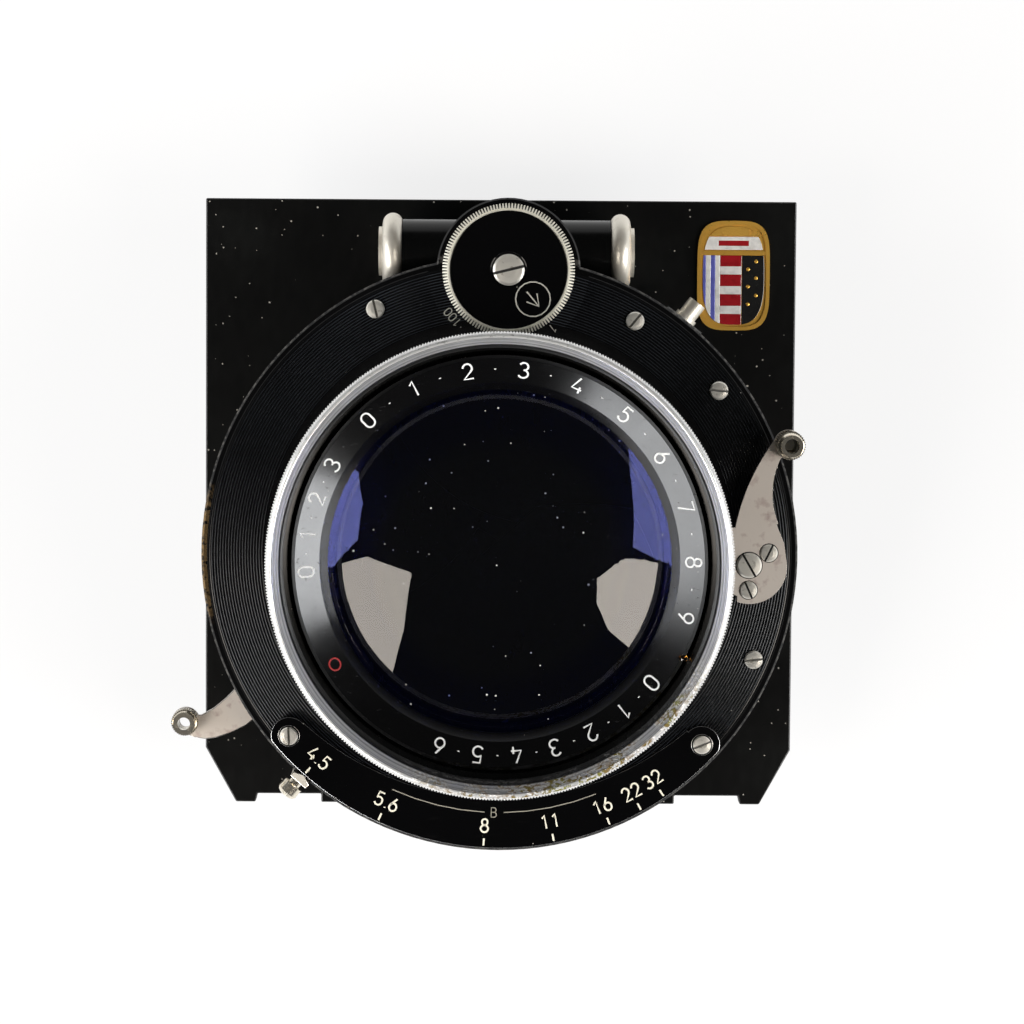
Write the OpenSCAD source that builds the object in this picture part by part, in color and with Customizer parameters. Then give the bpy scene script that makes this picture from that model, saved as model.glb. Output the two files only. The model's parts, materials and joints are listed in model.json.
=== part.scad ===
// Large-format taking lens in a dial-set pneumatic leaf shutter on a flat lens board.
// Frame: Z is the optical axis and points at the subject, Y points at the top of the board,
// the origin is on the optical axis at the rear rim of the rear barrel. Millimetres.

/* [Lens board] */
// Height of the board's rear seat above the rear rim
seat_z = 22; // [18:1:30]
// Width of the board
board_w = 96; // [94:1:98]
// Height of the board
board_h = 98.8; // [97:0.2:100]
// Thickness of the board
board_t = 3; // [2.5:0.1:3.5]
// Distance from the optical axis to the board's top edge
board_top = 56.3; // [55:0.1:57]

/* [Shutter case] */
// Outer radius of the round case
case_r = 46.6; // [46:0.1:46.8]
// Radius of the cover's rim
cover_r = 47.1; // [47:0.1:47.4]
// Height from the board's seat to the cover's face
cover_top = 22.4; // [22:0.1:22.6]
// Thickness of the cover
cover_t = 2.6; // [2.4:0.1:2.8]
// Number of turned grooves in the cover's face
grooves = 19; // [8:1:19]

/* [Iris] */
// Number of iris leaves
leaves = 10; // [8:1:10]
// Radius of the iris at full opening
iris_open_r = 21.4; // [21:0.1:21.6]
// Radius of the circle of leaf pivots
leaf_pivot_r = 35; // [34.8:0.1:35.2]
// Turn of one leaf from full to smallest opening
leaf_turn = 29.6; // [20:0.1:29.6]
// Turn of the aperture ring from full to smallest opening
aperture_turn = 76; // [60:1:76]

/* [Shutter blades] */
// Number of shutter blades
blades = 5; // [5:1:5]
// Radius of the circle of blade pivots
blade_pivot_r = 34; // [33.8:0.1:34.2]
// Swing of one blade from closed to open
blade_turn = 44; // [40:1:45]
// Turn of the blade ring that opens the blades
blade_ring_turn = 5.6; // [5:0.1:6]

/* [Speed dial] */
// Radius of the dial's knurled rim
dial_r = 10.34; // [10:0.01:10.5]
// Teeth of the knurl
dial_teeth = 90; // [60:2:110]

/* [Air cylinder] */
// Outer radius of the air cylinder
tube_r = 5.1; // [5:0.1:5.3]
// Outer radius of the cylinder's caps
cap_r = 6.1; // [6:0.1:6.3]

/* [Levers] */
// Thickness of the lever plates
lever_t = 0.9; // [0.7:0.1:1]
// Swing of the cocking lever
cock_turn = 60; // [30:1:60]

/* [Hidden] */
$fn = 96;

black_paint = [0.10, 0.10, 0.11];
black_gloss = [0.04, 0.04, 0.05];
nickel = [0.80, 0.78, 0.74];
satin = [0.72, 0.72, 0.72];
steel = [0.62, 0.63, 0.65];
brass = [0.72, 0.58, 0.32];
glass_tint = [0.55, 0.62, 0.80, 0.5];
eps = 0.01;

// ---- heights over the board's seat ----
floor_top = 5.2;
case_top = cover_top - cover_t;
leaf_low = 5.5;
leaf_t = 0.08;
leaf_slope = 0.052;
ap_ring_z = 8.9;
ap_ring_t = 1.2;
blade_deck_z = 10.4;
blade_deck_t = 1.0;
blade_low = 11.6;
blade_t = 0.14;
blade_step = 0.22;
blade_ring_z = 12.9;
blade_ring_t = 0.8;
mech_deck_z = 13.9;
mech_deck_t = 1.0;
release_z = 15.05;
winding_z = 16.1;
winding_t = 0.8;
tongue_z = 17.1;
tongue_t = 0.8;
cock_z = 24.3;
dial_top = 25;
dial_z = 25.15;
plate_t = 1.2;
neck_top = 38.9;
rim_top = 45.4;

// ---- plan sizes ----
board_hole_r = 32.6;
board_pocket_r = 37.2;
board_pocket_d = 1.2;
boss_r = 32.2;
cell_bore_r = 29.5;
wall_in_r = 44.6;
deck_r = 44.4;
rim_in_r = 43.0;
ap_ring_r = 38.2;
winding_in_r = 32.28;
winding_out_r = 40.5;
front_hole_r = 30.5;
neck_r = 32.4;
rim_r = 35.7;
filter_r = 33.4;
filter_foot = 40.3;
relief_r = 33.78;
plate_r = 46.5;
rear_r = 28;

dial_x = 1.1;
dial_y = 44.9;
dial_bore_r = 1.56;
tube_y = 47.8;
tube_z = 14;
tube_x0 = -15.7;
tube_x1 = 17.3;
tube_bore_r = 4.3;
cap_w = 3.2;
cap_button = 0.6;

cock_x = 39.2;
cock_y = -1.15;
cock_shaft_r = 1.9;
crank_r = 5;
crank_rest = 210;
crank_pin_r = 0.6;
knob_x = 45.2;
knob_y = 17.9;
piston_pin_r = 41;
piston_pin_a = 86;
piston_pin_w = 0.8;

release_x = -36.3;
release_y = -19.2;
release_knob_x = -50.1;
release_knob_y = -27.5;

pointer_a = -131.2;
scale_hole_r = 0.85;
screw_shank_r = 0.8;
screw_head_r = 1.45;
sink = 0.25;
cover_screw_spots = [[43.4, 117.1], [42.6, 60.4], [43.2, 37.3], [43.5, -22.1]];
plate_screw_spots = [[43.9, -139.0], [43.9, -42.8]];
socket_a = 51.8;
socket_z = 13;

// ---- helpers ----
function polar(r, a) = [r * cos(a), r * sin(a)];
function turned(p, a) = [p[0] * cos(a) - p[1] * sin(a), p[0] * sin(a) + p[1] * cos(a)];
function unit(v) = v / norm(v);

// A disc or tube from one height over the seat to another
module tube(r_out, z0, z1, r_in = 0) {
    translate([0, 0, seat_z + z0]) difference() {
        cylinder(r = r_out, h = z1 - z0);
        if (r_in > 0) translate([0, 0, -1]) cylinder(r = r_in, h = z1 - z0 + 2);
    }
}

// A flat outline raised from one height over the seat to another
module raised(z0, z1) {
    translate([0, 0, seat_z + z0]) linear_extrude(z1 - z0) children();
}

module at_polar(r, a) {
    rotate(a) translate([r, 0]) children();
}

// A sector of a circle from angle a0 to a1, wider than any radius in use
module sector(a0, a1, r = 80) {
    steps = ceil((a1 - a0) / 40);
    polygon(concat([[0, 0]], [for (i = [0 : steps]) polar(r, a0 + (a1 - a0) * i / steps)]));
}

// A flat band between two radii and two angles
module band(r_in, r_out, a0, a1) {
    intersection() {
        difference() {
            circle(r = r_out);
            circle(r = r_in);
        }
        sector(a0, a1);
    }
}

// A cheese-head screw with a slot, its head's seat at z = 0
module screw(head_r, head_h, shank_r, shank_l, slot_w, slot_a = 0) {
    difference() {
        union() {
            rotate_extrude() polygon([[0, 0], [head_r, 0], [head_r, head_h * 0.62],
                [head_r * 0.86, head_h * 0.9], [head_r * 0.5, head_h], [0, head_h]]);
            translate([0, 0, -shank_l]) cylinder(r = shank_r, h = shank_l + eps, $fn = 32);
        }
        rotate(slot_a) translate([-head_r - 1, -slot_w / 2, head_h * 0.5])
            cube([2 * head_r + 2, slot_w, head_h]);
    }
}

// A knurled disc outline: teeth with flat tips around a circle
module knurl_outline(r, depth, teeth) {
    step = 360 / teeth;
    polygon([for (i = [0 : teeth - 1]) for (k = [0 : 2])
        polar(k == 1 ? r : r - depth * (k == 0 ? 1 : 0), step * (i + k * 0.33))]);
}

// ---- board ----
module board_outline() {
    bottom = board_top - board_h;
    notch = 1.4;
    foot_in = 39.8;
    foot_out = 43;
    tongue = 29;
    side = board_w / 2;
    right = [[side, board_top], [side, bottom + 9], [foot_out, bottom], [foot_in, bottom],
        [foot_in - 0.3, bottom + notch], [tongue, bottom + notch], [tongue, bottom]];
    left = [for (i = [len(right) - 1 : -1 : 0]) [-right[i][0], right[i][1]]];
    polygon(concat(right, left));
}

module lens_board() color(black_paint) difference() {
    raised(0, board_t) board_outline();
    tube(board_hole_r, -1, board_t + 1);
    tube(board_pocket_r, -1, board_pocket_d);
}

// Plaque outline: an upright rectangle with well rounded corners, drawn in by an inset
module badge_outline(inset = 0) {
    polygon([for (i = [0 : 47]) let (c = cos(7.5 * i), s = sin(7.5 * i))
        [(5.9 - inset) * sign(c) * pow(abs(c), 0.55), (8.9 - inset) * sign(s) * pow(abs(s), 0.45)]]);
}

// Enamel plaque: two sunk fields inside a raised rim and a bar
module board_badge() color(brass) translate([37.8, 44.3, 0]) union() {
    raised(board_t, board_t + 0.3) badge_outline();
    raised(board_t + 0.3 - eps, board_t + 0.55) difference() {
        badge_outline();
        difference() {
            badge_outline(0.6);
            translate([-6, 3.4]) square([12, 0.6]);
        }
    }
}

module retaining_ring() color(steel) difference() {
    tube(36, -1.6, board_pocket_d, boss_r + 0.1);
    for (a = [45 : 90 : 360]) rotate(a) translate([34, -1.5, seat_z - 2]) cube([4, 3, 1.6]);
}

// ---- shutter case ----
// The bed that the air cylinder and its caps lie in
module cylinder_bed() {
    translate([-40, tube_y, seat_z + tube_z]) rotate([0, 90, 0]) cylinder(r = tube_r + 0.02, h = 80);
    for (x = [tube_x0 - 6, tube_x1 - 0.2]) translate([x, tube_y, seat_z + tube_z])
        rotate([0, 90, 0]) cylinder(r = cap_r + 0.15, h = 6.2);
}

module shutter_case() color(black_paint) {
    difference() {
        union() {
            tube(case_r, board_t, floor_top, cell_bore_r);
            tube(boss_r, -2.2, board_t + eps, cell_bore_r);
            tube(case_r, floor_top - eps, case_top, wall_in_r);
            tube(wall_in_r + eps, floor_top - eps, blade_deck_z, 43.4);
            tube(39.4, floor_top - eps, ap_ring_z + ap_ring_t, ap_ring_r + 0.08);
            for (s = concat(cover_screw_spots, plate_screw_spots))
                raised(mech_deck_z + mech_deck_t + 0.1, case_top - 1.1) intersection() {
                    at_polar(s[0], s[1]) circle(r = 1.8, $fn = 32);
                    circle(r = wall_in_r + 0.5);
                }
        }
        cylinder_bed();
        raised(tongue_z - 0.3, tongue_z + tongue_t + 0.3) translate([-6, 42]) square([12, 5]);
        raised(ap_ring_z - 0.2, ap_ring_z + ap_ring_t + 0.2)
            band(38, 48, pointer_a - 2.9, pointer_a + aperture_turn + 2.9);
        raised(release_z - 0.15, release_z + lever_t + 0.15) band(44, 48, -156, -138);
        for (i = [0 : leaves - 1]) raised(floor_top - 1.4, floor_top + 1)
            at_polar(leaf_pivot_r, 360 * i / leaves) circle(r = 0.65, $fn = 24);
        for (s = concat(cover_screw_spots, plate_screw_spots))
            raised(mech_deck_z + mech_deck_t + 0.6, case_top + 1)
                at_polar(s[0], s[1]) circle(r = scale_hole_r, $fn = 32);
        at_socket(40) cylinder(r = 1.52, h = 10, $fn = 32);
    }
}

// Turns +Z outwards along the cable socket's axis, r from the optical axis
module at_socket(r) {
    rotate(socket_a) translate([r, 0, seat_z + socket_z]) rotate([0, 90, 0]) children();
}

module socket_flange() color(steel) difference() {
    at_socket(case_r - 0.25) translate([-2.6, -3.4, 0]) cube([5.2, 6.8, 1.05]);
    tube(case_r + 0.01, 0, 30, $fn = 360);
    at_socket(40) cylinder(r = 1.52, h = 12, $fn = 32);
}

module cable_socket() color(nickel) at_socket(case_r - 1.9) difference() {
    union() {
        cylinder(r = 1.5, h = 6.1, $fn = 32);
        translate([0, 0, 2.7]) cylinder(r = 1.85, h = 0.7, $fn = 32);
    }
    translate([0, 0, -1]) cylinder(r = 1.0, h = 9, $fn = 32);
}

// ---- cover ----
module cover_section() {
    pitch = 0.44;
    first = 37.3;
    depth = 0.16;
    top = cover_top;
    face = [for (i = [0 : grooves - 1]) for (k = [0 : 2])
        [first + pitch * i + 0.1 * k, top - (k == 1 ? depth : 0)]];
    polygon(concat([[front_hole_r, 15.6], [front_hole_r + 1.7, 15.6], [front_hole_r + 1.7, case_top],
        [42.4, case_top], [42.4, case_top - 1], [wall_in_r - 0.1, case_top - 1],
        [wall_in_r - 0.1, case_top], [cover_r, case_top], [cover_r, top - 0.45],
        [cover_r - 0.35, top - 0.1], [46.1, top - 0.1], [46.0, top]],
        [for (i = [len(face) - 1 : -1 : 0]) face[i]], [[front_hole_r, top]]));
}

module front_cover() color(black_gloss) difference() {
    union() {
        translate([0, 0, seat_z]) rotate_extrude() cover_section();
        difference() {
            translate([dial_x, dial_y, seat_z + case_top]) rotate_extrude()
                polygon([[0, 0], [11.1, 0], [11.25, 0.2], [11.25, 4.9], [11.0, 5.2], [0, 5.2]]);
            tube(40, 19, 30.5);
        }
        intersection() {
            translate([dial_x, dial_y, seat_z + cover_top - eps])
                cylinder(r = 12.6, h = dial_top - cover_top);
            tube(cover_r - 0.4, cover_top - 1, 30, 33.4);
        }
    }
    translate([dial_x, dial_y, seat_z + 10]) cylinder(r = dial_bore_r, h = 20, $fn = 48);
    translate([cock_x, cock_y, seat_z + 10]) cylinder(r = cock_shaft_r + 0.05, h = 20, $fn = 48);
    for (s = concat(cover_screw_spots, plate_screw_spots))
        raised(10, 30) at_polar(s[0], s[1]) circle(r = scale_hole_r, $fn = 32);
    for (s = cover_screw_spots)
        raised(cover_top - sink, 30) at_polar(s[0], s[1]) circle(r = screw_head_r + 0.2, $fn = 48);
}

module cover_screws() color(nickel) for (i = [0 : len(cover_screw_spots) - 1]) {
    s = cover_screw_spots[i];
    translate([0, 0, seat_z + cover_top - sink]) rotate(s[1]) translate([s[0], 0, 0])
        screw(screw_head_r, 0.75, screw_shank_r, 5.75, 0.36, [-76, 50, -5, 5][i] - s[1]);
}

// ---- aperture scale ----
module scale_plate() color(black_gloss) difference() {
    raised(cover_top, cover_top + plate_t) intersection() {
        circle(r = plate_r);
        union() {
            difference() {
                sector(-139, -42.8);
                translate([0, 7.3]) circle(r = 45.9);
            }
            for (s = plate_screw_spots) at_polar(s[0] - 0.1, s[1]) circle(r = 2.9, $fn = 48);
        }
    }
    for (s = plate_screw_spots) {
        raised(10, 30) at_polar(s[0], s[1]) circle(r = scale_hole_r, $fn = 32);
        raised(cover_top + plate_t - sink, 30) at_polar(s[0], s[1]) circle(r = screw_head_r + 0.2, $fn = 48);
    }
}

module scale_plate_screws() color(nickel) for (i = [0, 1]) {
    s = plate_screw_spots[i];
    translate([0, 0, seat_z + cover_top + plate_t - sink]) rotate(s[1]) translate([s[0], 0, 0])
        screw(screw_head_r, 0.75, screw_shank_r, 6.75, 0.36, [92, 22][i] - s[1]);
}

// ---- air cylinder ----
module along_x(x) {
    translate([x, tube_y, seat_z + tube_z]) rotate([0, 90, 0]) children();
}

module air_cylinder() color(black_paint) difference() {
    along_x(tube_x0) cylinder(r = tube_r, h = tube_x1 - tube_x0);
    along_x(tube_x0 - 1) cylinder(r = tube_bore_r, h = tube_x1 - tube_x0 + 2);
    raised(tongue_z - 0.2, tongue_z + tongue_t + 0.2) translate([-5.4, 40]) square([10.8, 7.8]);
}

// A domed cap: a rolled rim with a flat button outside and a spigot inside the tube
module cap_section() {
    roll = cap_w / 2;
    rotate_extrude() union() {
        translate([0, 0]) square([cap_r - roll, cap_w]);
        translate([cap_r - roll, roll]) circle(r = roll, $fn = 48);
        translate([0, cap_w - eps]) square([3.9, cap_button]);
        translate([0, -2]) square([tube_bore_r - 0.02, 2 + eps]);
    }
}

module cylinder_cap_right() color(nickel) along_x(tube_x1) cap_section();

module cylinder_cap_left() color(nickel) along_x(tube_x0) mirror([0, 0, 1]) cap_section();

// Piston with a flat tongue whose fork takes the winding ring's pin
module piston() color(brass) {
    pin = polar(piston_pin_r, piston_pin_a);
    difference() {
        union() {
            along_x(pin[0] - 3) cylinder(r = tube_bore_r - 0.04, h = 6);
            raised(tongue_z, tongue_z + tongue_t) translate([pin[0] - 1.8, 39.6]) square([3.6, 8]);
        }
        raised(tongue_z - 1, tongue_z + tongue_t + 1)
            translate([pin[0] - piston_pin_w - 0.12, 39]) square([2 * piston_pin_w + 0.24, 3.2]);
        along_x(pin[0] - 4) cylinder(r = 2.4, h = 3);
    }
}

// ---- fixed decks inside the case ----
module blade_deck() color(satin) difference() {
    union() {
        tube(deck_r, blade_deck_z, blade_deck_z + blade_deck_t, iris_open_r);
        for (k = [0 : blades - 1]) raised(blade_deck_z, blade_ring_z - 0.1)
            at_polar(blade_pivot_r, 72 * k) circle(r = 0.9, $fn = 32);
    }
    cylinder_bed();
}

module mechanism_deck() color(brass) difference() {
    union() {
        tube(deck_r, mech_deck_z, mech_deck_z + mech_deck_t, 32.6);
        tube(deck_r, blade_deck_z + blade_deck_t, mech_deck_z + eps, rim_in_r);
        tube(35.9, blade_ring_z + 0.05, mech_deck_z + eps, 35.2);
        translate([release_x, release_y]) raised(mech_deck_z + eps, release_z + lever_t - 0.05)
            circle(r = 1, $fn = 32);
        at_polar(42.2, -111) raised(mech_deck_z + eps, winding_z + winding_t) circle(r = 0.9, $fn = 24);
    }
    cylinder_bed();
    at_socket(40) cylinder(r = 1.7, h = 12, $fn = 32);
}

// Leaf spring from its post to the lug of the winding ring
module main_spring() color(steel)
    raised(winding_z, winding_z + winding_t) band(41.9, 42.3, -109.75, -62.5);

// ---- winding ring ----
module winding_ring() color(steel) {
    lug_a = -60;
    crank_pin = [cock_x, cock_y] + polar(crank_r, crank_rest);
    slot_a = atan2(crank_pin[1], crank_pin[0]);
    difference() {
        union() {
            tube(winding_out_r, winding_z, winding_z + winding_t, winding_in_r);
            raised(winding_z, winding_z + winding_t) band(winding_out_r - 1, 42.6, lug_a - 1.8, lug_a + 1.8);
            raised(winding_z, winding_z + winding_t)
                at_polar(piston_pin_r, piston_pin_a) circle(r = 1.4, $fn = 32);
            raised(winding_z, tongue_z + tongue_t)
                at_polar(piston_pin_r, piston_pin_a) circle(r = piston_pin_w, $fn = 32);
        }
        rotate(slot_a) translate([34, -crank_pin_r - 0.15, seat_z + winding_z - 1])
            cube([1.9, 2 * crank_pin_r + 0.3, 3]);
        for (r = [33.95, 35.75]) raised(winding_z - 1, winding_z + 2)
            at_polar(r, slot_a) circle(r = crank_pin_r + 0.15, $fn = 32);
    }
}

// ---- lens cells ----
module front_barrel() color(black_gloss) translate([0, 0, seat_z]) rotate_extrude()
    polygon([[24, 15.4], [front_hole_r - 0.03, 15.4], [front_hole_r - 0.03, cover_top],
        [33.2, cover_top], [33.2, 23.9], [neck_r, 23.9], [neck_r, 30], [34.6, 35],
        [34.6, neck_top], [34.05, neck_top], [34.05, 37.5], [filter_r, 37.5], [32.6, 37.2],
        [32.6, 36], [31.95, 35.2], [31.95, 34.6], [27.5, 34.6], [27.5, 32.2], [26.2, 32.2],
        [26.2, 30.2], [24.7, 30.2], [24.7, 24.6], [24, 24.6]]);

// Front rim: a filter thread inside, a fine knurl outside
module front_rim_ring() color(satin) {
    bevel_foot = 42.4;
    translate([0, 0, seat_z]) rotate_extrude() polygon([[filter_r, filter_foot], [relief_r, filter_foot],
        [relief_r, 37.5], [34.03, 37.5], [34.03, neck_top], [34.7, neck_top], [34.7, 41.2], [35.3, 41.7],
        [35.3, 45.1], [35.0, rim_top], [34.7, rim_top], [filter_r, bevel_foot]]);
    difference() {
        raised(41.9, 44.9) knurl_outline(rim_r, 0.25, 180);
        tube(35.2, 40, 46);
    }
}

module name_ring() color(black_gloss) translate([0, 0, seat_z]) rotate_extrude()
    polygon([[26.5, 34.62], [31.9, 34.62], [31.9, 38.3], [31.4, 38.6], [27.75, 36.5], [26.5, 35.3]]);

// One lens: its half section between two circles; a negative radius bows inwards
module lens(edge_r, z_rear, z_front, r_rear, r_front) {
    sag_f = abs(r_front) - sqrt(r_front * r_front - edge_r * edge_r);
    sag_r = abs(r_rear) - sqrt(r_rear * r_rear - edge_r * edge_r);
    low = r_rear > 0 ? z_rear - sag_r - 1 : z_rear;
    top = r_front > 0 ? z_front + sag_f + 1 : z_front;
    translate([0, 0, seat_z]) rotate_extrude() difference() {
        intersection() {
            translate([0, low]) square([edge_r, top - low]);
            if (r_front > 0) translate([0, z_front + sag_f - r_front]) arc_disc(r_front);
            if (r_rear > 0) translate([0, z_rear - sag_r + r_rear]) arc_disc(r_rear);
        }
        if (r_front < 0) translate([0, z_front - sag_f - r_front]) arc_disc(-r_front);
        if (r_rear < 0) translate([0, z_rear + sag_r + r_rear]) arc_disc(-r_rear);
    }
}

// A large circle with sides of about 4 mm
module arc_disc(r) {
    circle(r = r, $fn = 4 * ceil(r * 0.4));
}

module front_element() color(glass_tint) lens(27.4, 32.29, 34.1, 400, 66);

module middle_element() color(glass_tint) lens(24.65, 24.61, 30.1, -160, -160);

module rear_inner_element() color(glass_tint) lens(24.4, -12.8, -5.69, -60, 400);

module rear_outer_element() color(glass_tint) translate([0, 0, -0.02]) lens(24.4, -14, -12.8, 75, 60);

module rear_barrel() color(black_gloss) translate([0, 0, seat_z]) rotate_extrude()
    polygon([[26, -22], [rear_r, -22], [rear_r, -6], [31.5, -6], [31.5, -2.2], [29.4, -2.2],
        [29.4, 4.9], [22, 4.9], [23, -5.6], [24.5, -5.6], [24.5, -16.6], [26, -17.6]]);

module rear_retaining_ring() color(black_gloss) translate([0, 0, seat_z]) rotate_extrude()
    polygon([[22.6, -14.65], [24.4, -14.08], [24.4, -15.6], [24, -16.6], [22.6, -16]]);

// ---- speed dial ----
module at_dial(z) {
    translate([dial_x, dial_y, seat_z + z]) children();
}

module speed_dial() color(black_gloss) difference() {
    union() {
        at_dial(dial_z) cylinder(r = 9.2, h = 3.3);
        at_dial(dial_z + 0.25) linear_extrude(3.45) difference() {
            knurl_outline(dial_r, 0.28, dial_teeth);
            circle(r = 9.15);
        }
    }
    at_dial(dial_z - 1) cylinder(r = 1.5, h = 8, $fn = 48);
    at_dial(dial_z + 2.85) cylinder(r = 2.75, h = 2, $fn = 64);
}

module dial_screw() color(nickel) at_dial(dial_z + 2.85) screw(2.45, 0.9, 1.0, 2, 0.42, 14);

module dial_spindle() color(steel) difference() {
    union() {
        at_dial(case_top + 0.1) cylinder(r = dial_bore_r - 0.06, h = dial_z + 2.7 - case_top, $fn = 48);
        at_dial(dial_top + 0.02) cylinder(r = 3, h = dial_z - dial_top - 0.03, $fn = 48);
    }
    at_dial(dial_z + 0.7) cylinder(r = 1.02, h = 4, $fn = 32);
}

// ---- cocking lever ----
module cocking_outline() {
    intersection() {
        translate([70.4, -1.6]) circle(r = 34, $fn = 180);
        difference() {
            polygon([[36.6, -1], [45.1, -0.6], [44.65, 2.4], [43.45, 5.3], [47, 8], [47, 17.4],
                [45.2, 20.1], [43.3, 19.2], [36.6, 19.2]]);
            translate([55.3, 10.3]) circle(r = 12.55, $fn = 120);
        }
    }
    intersection() {
        translate([39.3, -1.4]) circle(r = 5.85);
        translate([37.4, -10]) square([20, 20]);
    }
    translate([cock_x, cock_y]) circle(r = 5.2);
    polygon([[35.95, -1], [36.2, 4.77], [40.5, 4.77], [43, -1]]);
    translate([knob_x, knob_y]) circle(r = 2.3, $fn = 48);
}

module cocking_lever() color(nickel) difference() {
    raised(cock_z, cock_z + lever_t) cocking_outline();
    translate([cock_x, cock_y]) raised(20, 30) circle(r = 1.2, $fn = 32);
    translate([cock_x, cock_y]) raised(cock_z + lever_t - sink, 30) circle(r = 2.15, $fn = 48);
    for (p = [[42.3, 0.8], [39.15, -5.05]]) translate(p) {
        raised(20, 30) circle(r = 0.6, $fn = 24);
        raised(cock_z + lever_t - sink, 30) circle(r = 1.52, $fn = 48);
    }
    translate([knob_x, knob_y]) raised(20, 30) circle(r = 1.1, $fn = 32);
}

// A finger knob: a knurled skirt below a plain collar, bored through
module finger_knob(skirt_r, skirt_h, collar_r, total_h, bore_r) {
    difference() {
        union() {
            linear_extrude(skirt_h) knurl_outline(skirt_r, 0.16, 36);
            translate([0, 0, skirt_h - eps]) cylinder(r1 = skirt_r - 0.2, r2 = collar_r, h = 0.6, $fn = 48);
            cylinder(r = collar_r, h = total_h, $fn = 48);
        }
        translate([0, 0, -1]) cylinder(r = bore_r, h = total_h + 2, $fn = 48);
    }
}

module cocking_knob() color(nickel) translate([knob_x, knob_y, seat_z + cock_z + lever_t])
    finger_knob(2.25, 4.4, 1.72, 6.6, 1.12);

module cocking_pivot_screw() color(nickel)
    translate([cock_x, cock_y, seat_z + cock_z + lever_t - sink]) screw(2.0, 0.8, 1.15, 2.75, 0.34, -60);

module cocking_lever_screws() color(nickel) {
    translate([42.3, 0.8, seat_z + cock_z + lever_t - sink]) screw(1.38, 0.6, 0.55, 1.35, 0.32, 64);
    translate([39.15, -5.05, seat_z + cock_z + lever_t - sink]) screw(1.38, 0.6, 0.55, 1.35, 0.32, -66);
}

// Hub and crank under the cocking lever, down to the winding ring
module cocking_crank() color(steel) {
    pin = [cock_x, cock_y] + polar(crank_r, crank_rest);
    difference() {
        union() {
            translate([cock_x, cock_y]) raised(tongue_z, cock_z) circle(r = cock_shaft_r, $fn = 48);
            translate([cock_x, cock_y]) raised(cover_top + 0.15, cock_z) circle(r = 4.9);
            raised(tongue_z, tongue_z + 1.2) {
                translate([cock_x, cock_y]) circle(r = 2.6, $fn = 48);
                translate(pin) circle(r = 1.3, $fn = 48);
                translate([cock_x, cock_y]) rotate(crank_rest) translate([0, -1.2]) square([crank_r, 2.4]);
            }
            translate(pin) raised(winding_z + 0.1, tongue_z + eps) circle(r = crank_pin_r, $fn = 32);
        }
        translate([cock_x, cock_y]) raised(cock_z - 2.2, cock_z + 1) circle(r = 1.17, $fn = 32);
        for (p = [[42.3, 0.8], [39.15, -5.05]]) translate(p) raised(cock_z - 0.8, cock_z + 1)
            circle(r = 0.57, $fn = 24);
    }
}

// ---- release lever ----
module release_lever() color(nickel) difference() {
    raised(release_z, release_z + lever_t) union() {
        polygon([[-38.6, -17.5], [-40.5, -19.9], [-42.6, -22.7], [-43.8, -23.9], [-45.6, -25.4],
            [-47.6, -26.5], [-49.4, -26.6], [-50.6, -29.3], [-48.9, -30.1], [-47.1, -30.4],
            [-45.4, -30.2], [-43.0, -29.4], [-40.4, -28.1], [-37.6, -25.8], [-35.4, -23.0],
            [-34.0, -19.9]]);
        translate([release_x, release_y]) circle(r = 2.5, $fn = 48);
        translate([release_knob_x, release_knob_y]) circle(r = 2.2, $fn = 48);
    }
    translate([release_x, release_y]) raised(10, 20) circle(r = 1.05, $fn = 32);
    translate([release_knob_x, release_knob_y]) raised(10, 20) circle(r = 1.0, $fn = 32);
}

module release_knob() color(nickel)
    translate([release_knob_x, release_knob_y, seat_z + release_z + lever_t])
        finger_knob(2.15, 2.0, 1.75, 3.6, 1.0);

// ---- aperture ring, pointer and knob ----
// Where the drive pin of the first leaf stands when the ring has turned by a share t
leaf_span = 118;
leaf_pin_r = 0.55;
leaf_chord = 2 * leaf_pivot_r * sin(leaf_span / 2);
chord_rest = 90 + leaf_span / 2;
function leaf_pin(t) = [leaf_pivot_r, 0] + polar(leaf_chord, chord_rest + leaf_turn * t);
function slot_point(t) = turned(leaf_pin(t), -aperture_turn * t);

// A slot that follows the drive pin's path in the turning ring
module leaf_slot(half_w, steps = 12) {
    path = [for (i = [0 : steps]) slot_point(i / steps)];
    side = [for (i = [0 : steps])
        let (d = unit(slot_point((i + 0.5) / steps) - slot_point((i - 0.5) / steps)))
        [-d[1], d[0]] * half_w];
    polygon(concat([for (i = [0 : steps]) path[i] + side[i]],
        [for (i = [steps : -1 : 0]) path[i] - side[i]]));
    for (i = [0, steps]) translate(path[i]) circle(r = half_w, $fn = 24);
}

module aperture_ring() color(satin) {
    difference() {
        union() {
            tube(ap_ring_r, ap_ring_z, ap_ring_z + ap_ring_t, iris_open_r);
            rotate(pointer_a) translate([ap_ring_r - 1, -1.6, seat_z + ap_ring_z])
                cube([47.6 - ap_ring_r + 1, 3.2, ap_ring_t]);
        }
        for (i = [0 : leaves - 1]) rotate(360 * i / leaves)
            raised(ap_ring_z - 1, ap_ring_z + ap_ring_t + 1) leaf_slot(leaf_pin_r + 0.1);
    }
}

// Bracket outside the case that folds over the rim and ends in the pointer's tip
module aperture_pointer() color(nickel) {
    foot = 47.35;
    back = 48.1;
    fold_z = cover_top + 0.2;
    rotate(pointer_a) {
        difference() {
            translate([foot, -1.6, seat_z + ap_ring_z - 0.3])
                cube([back - foot, 3.2, fold_z + 0.9 - ap_ring_z]);
            translate([foot - 1, -1.65, seat_z + ap_ring_z]) cube([1.25, 3.3, ap_ring_t]);
        }
        raised(fold_z, fold_z + 0.6) polygon([[back, -1.6], [back, 1.6], [foot, 1.6], [46.75, 0.15],
            [46.75, -0.15], [foot, -1.6]]);
    }
}

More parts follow.
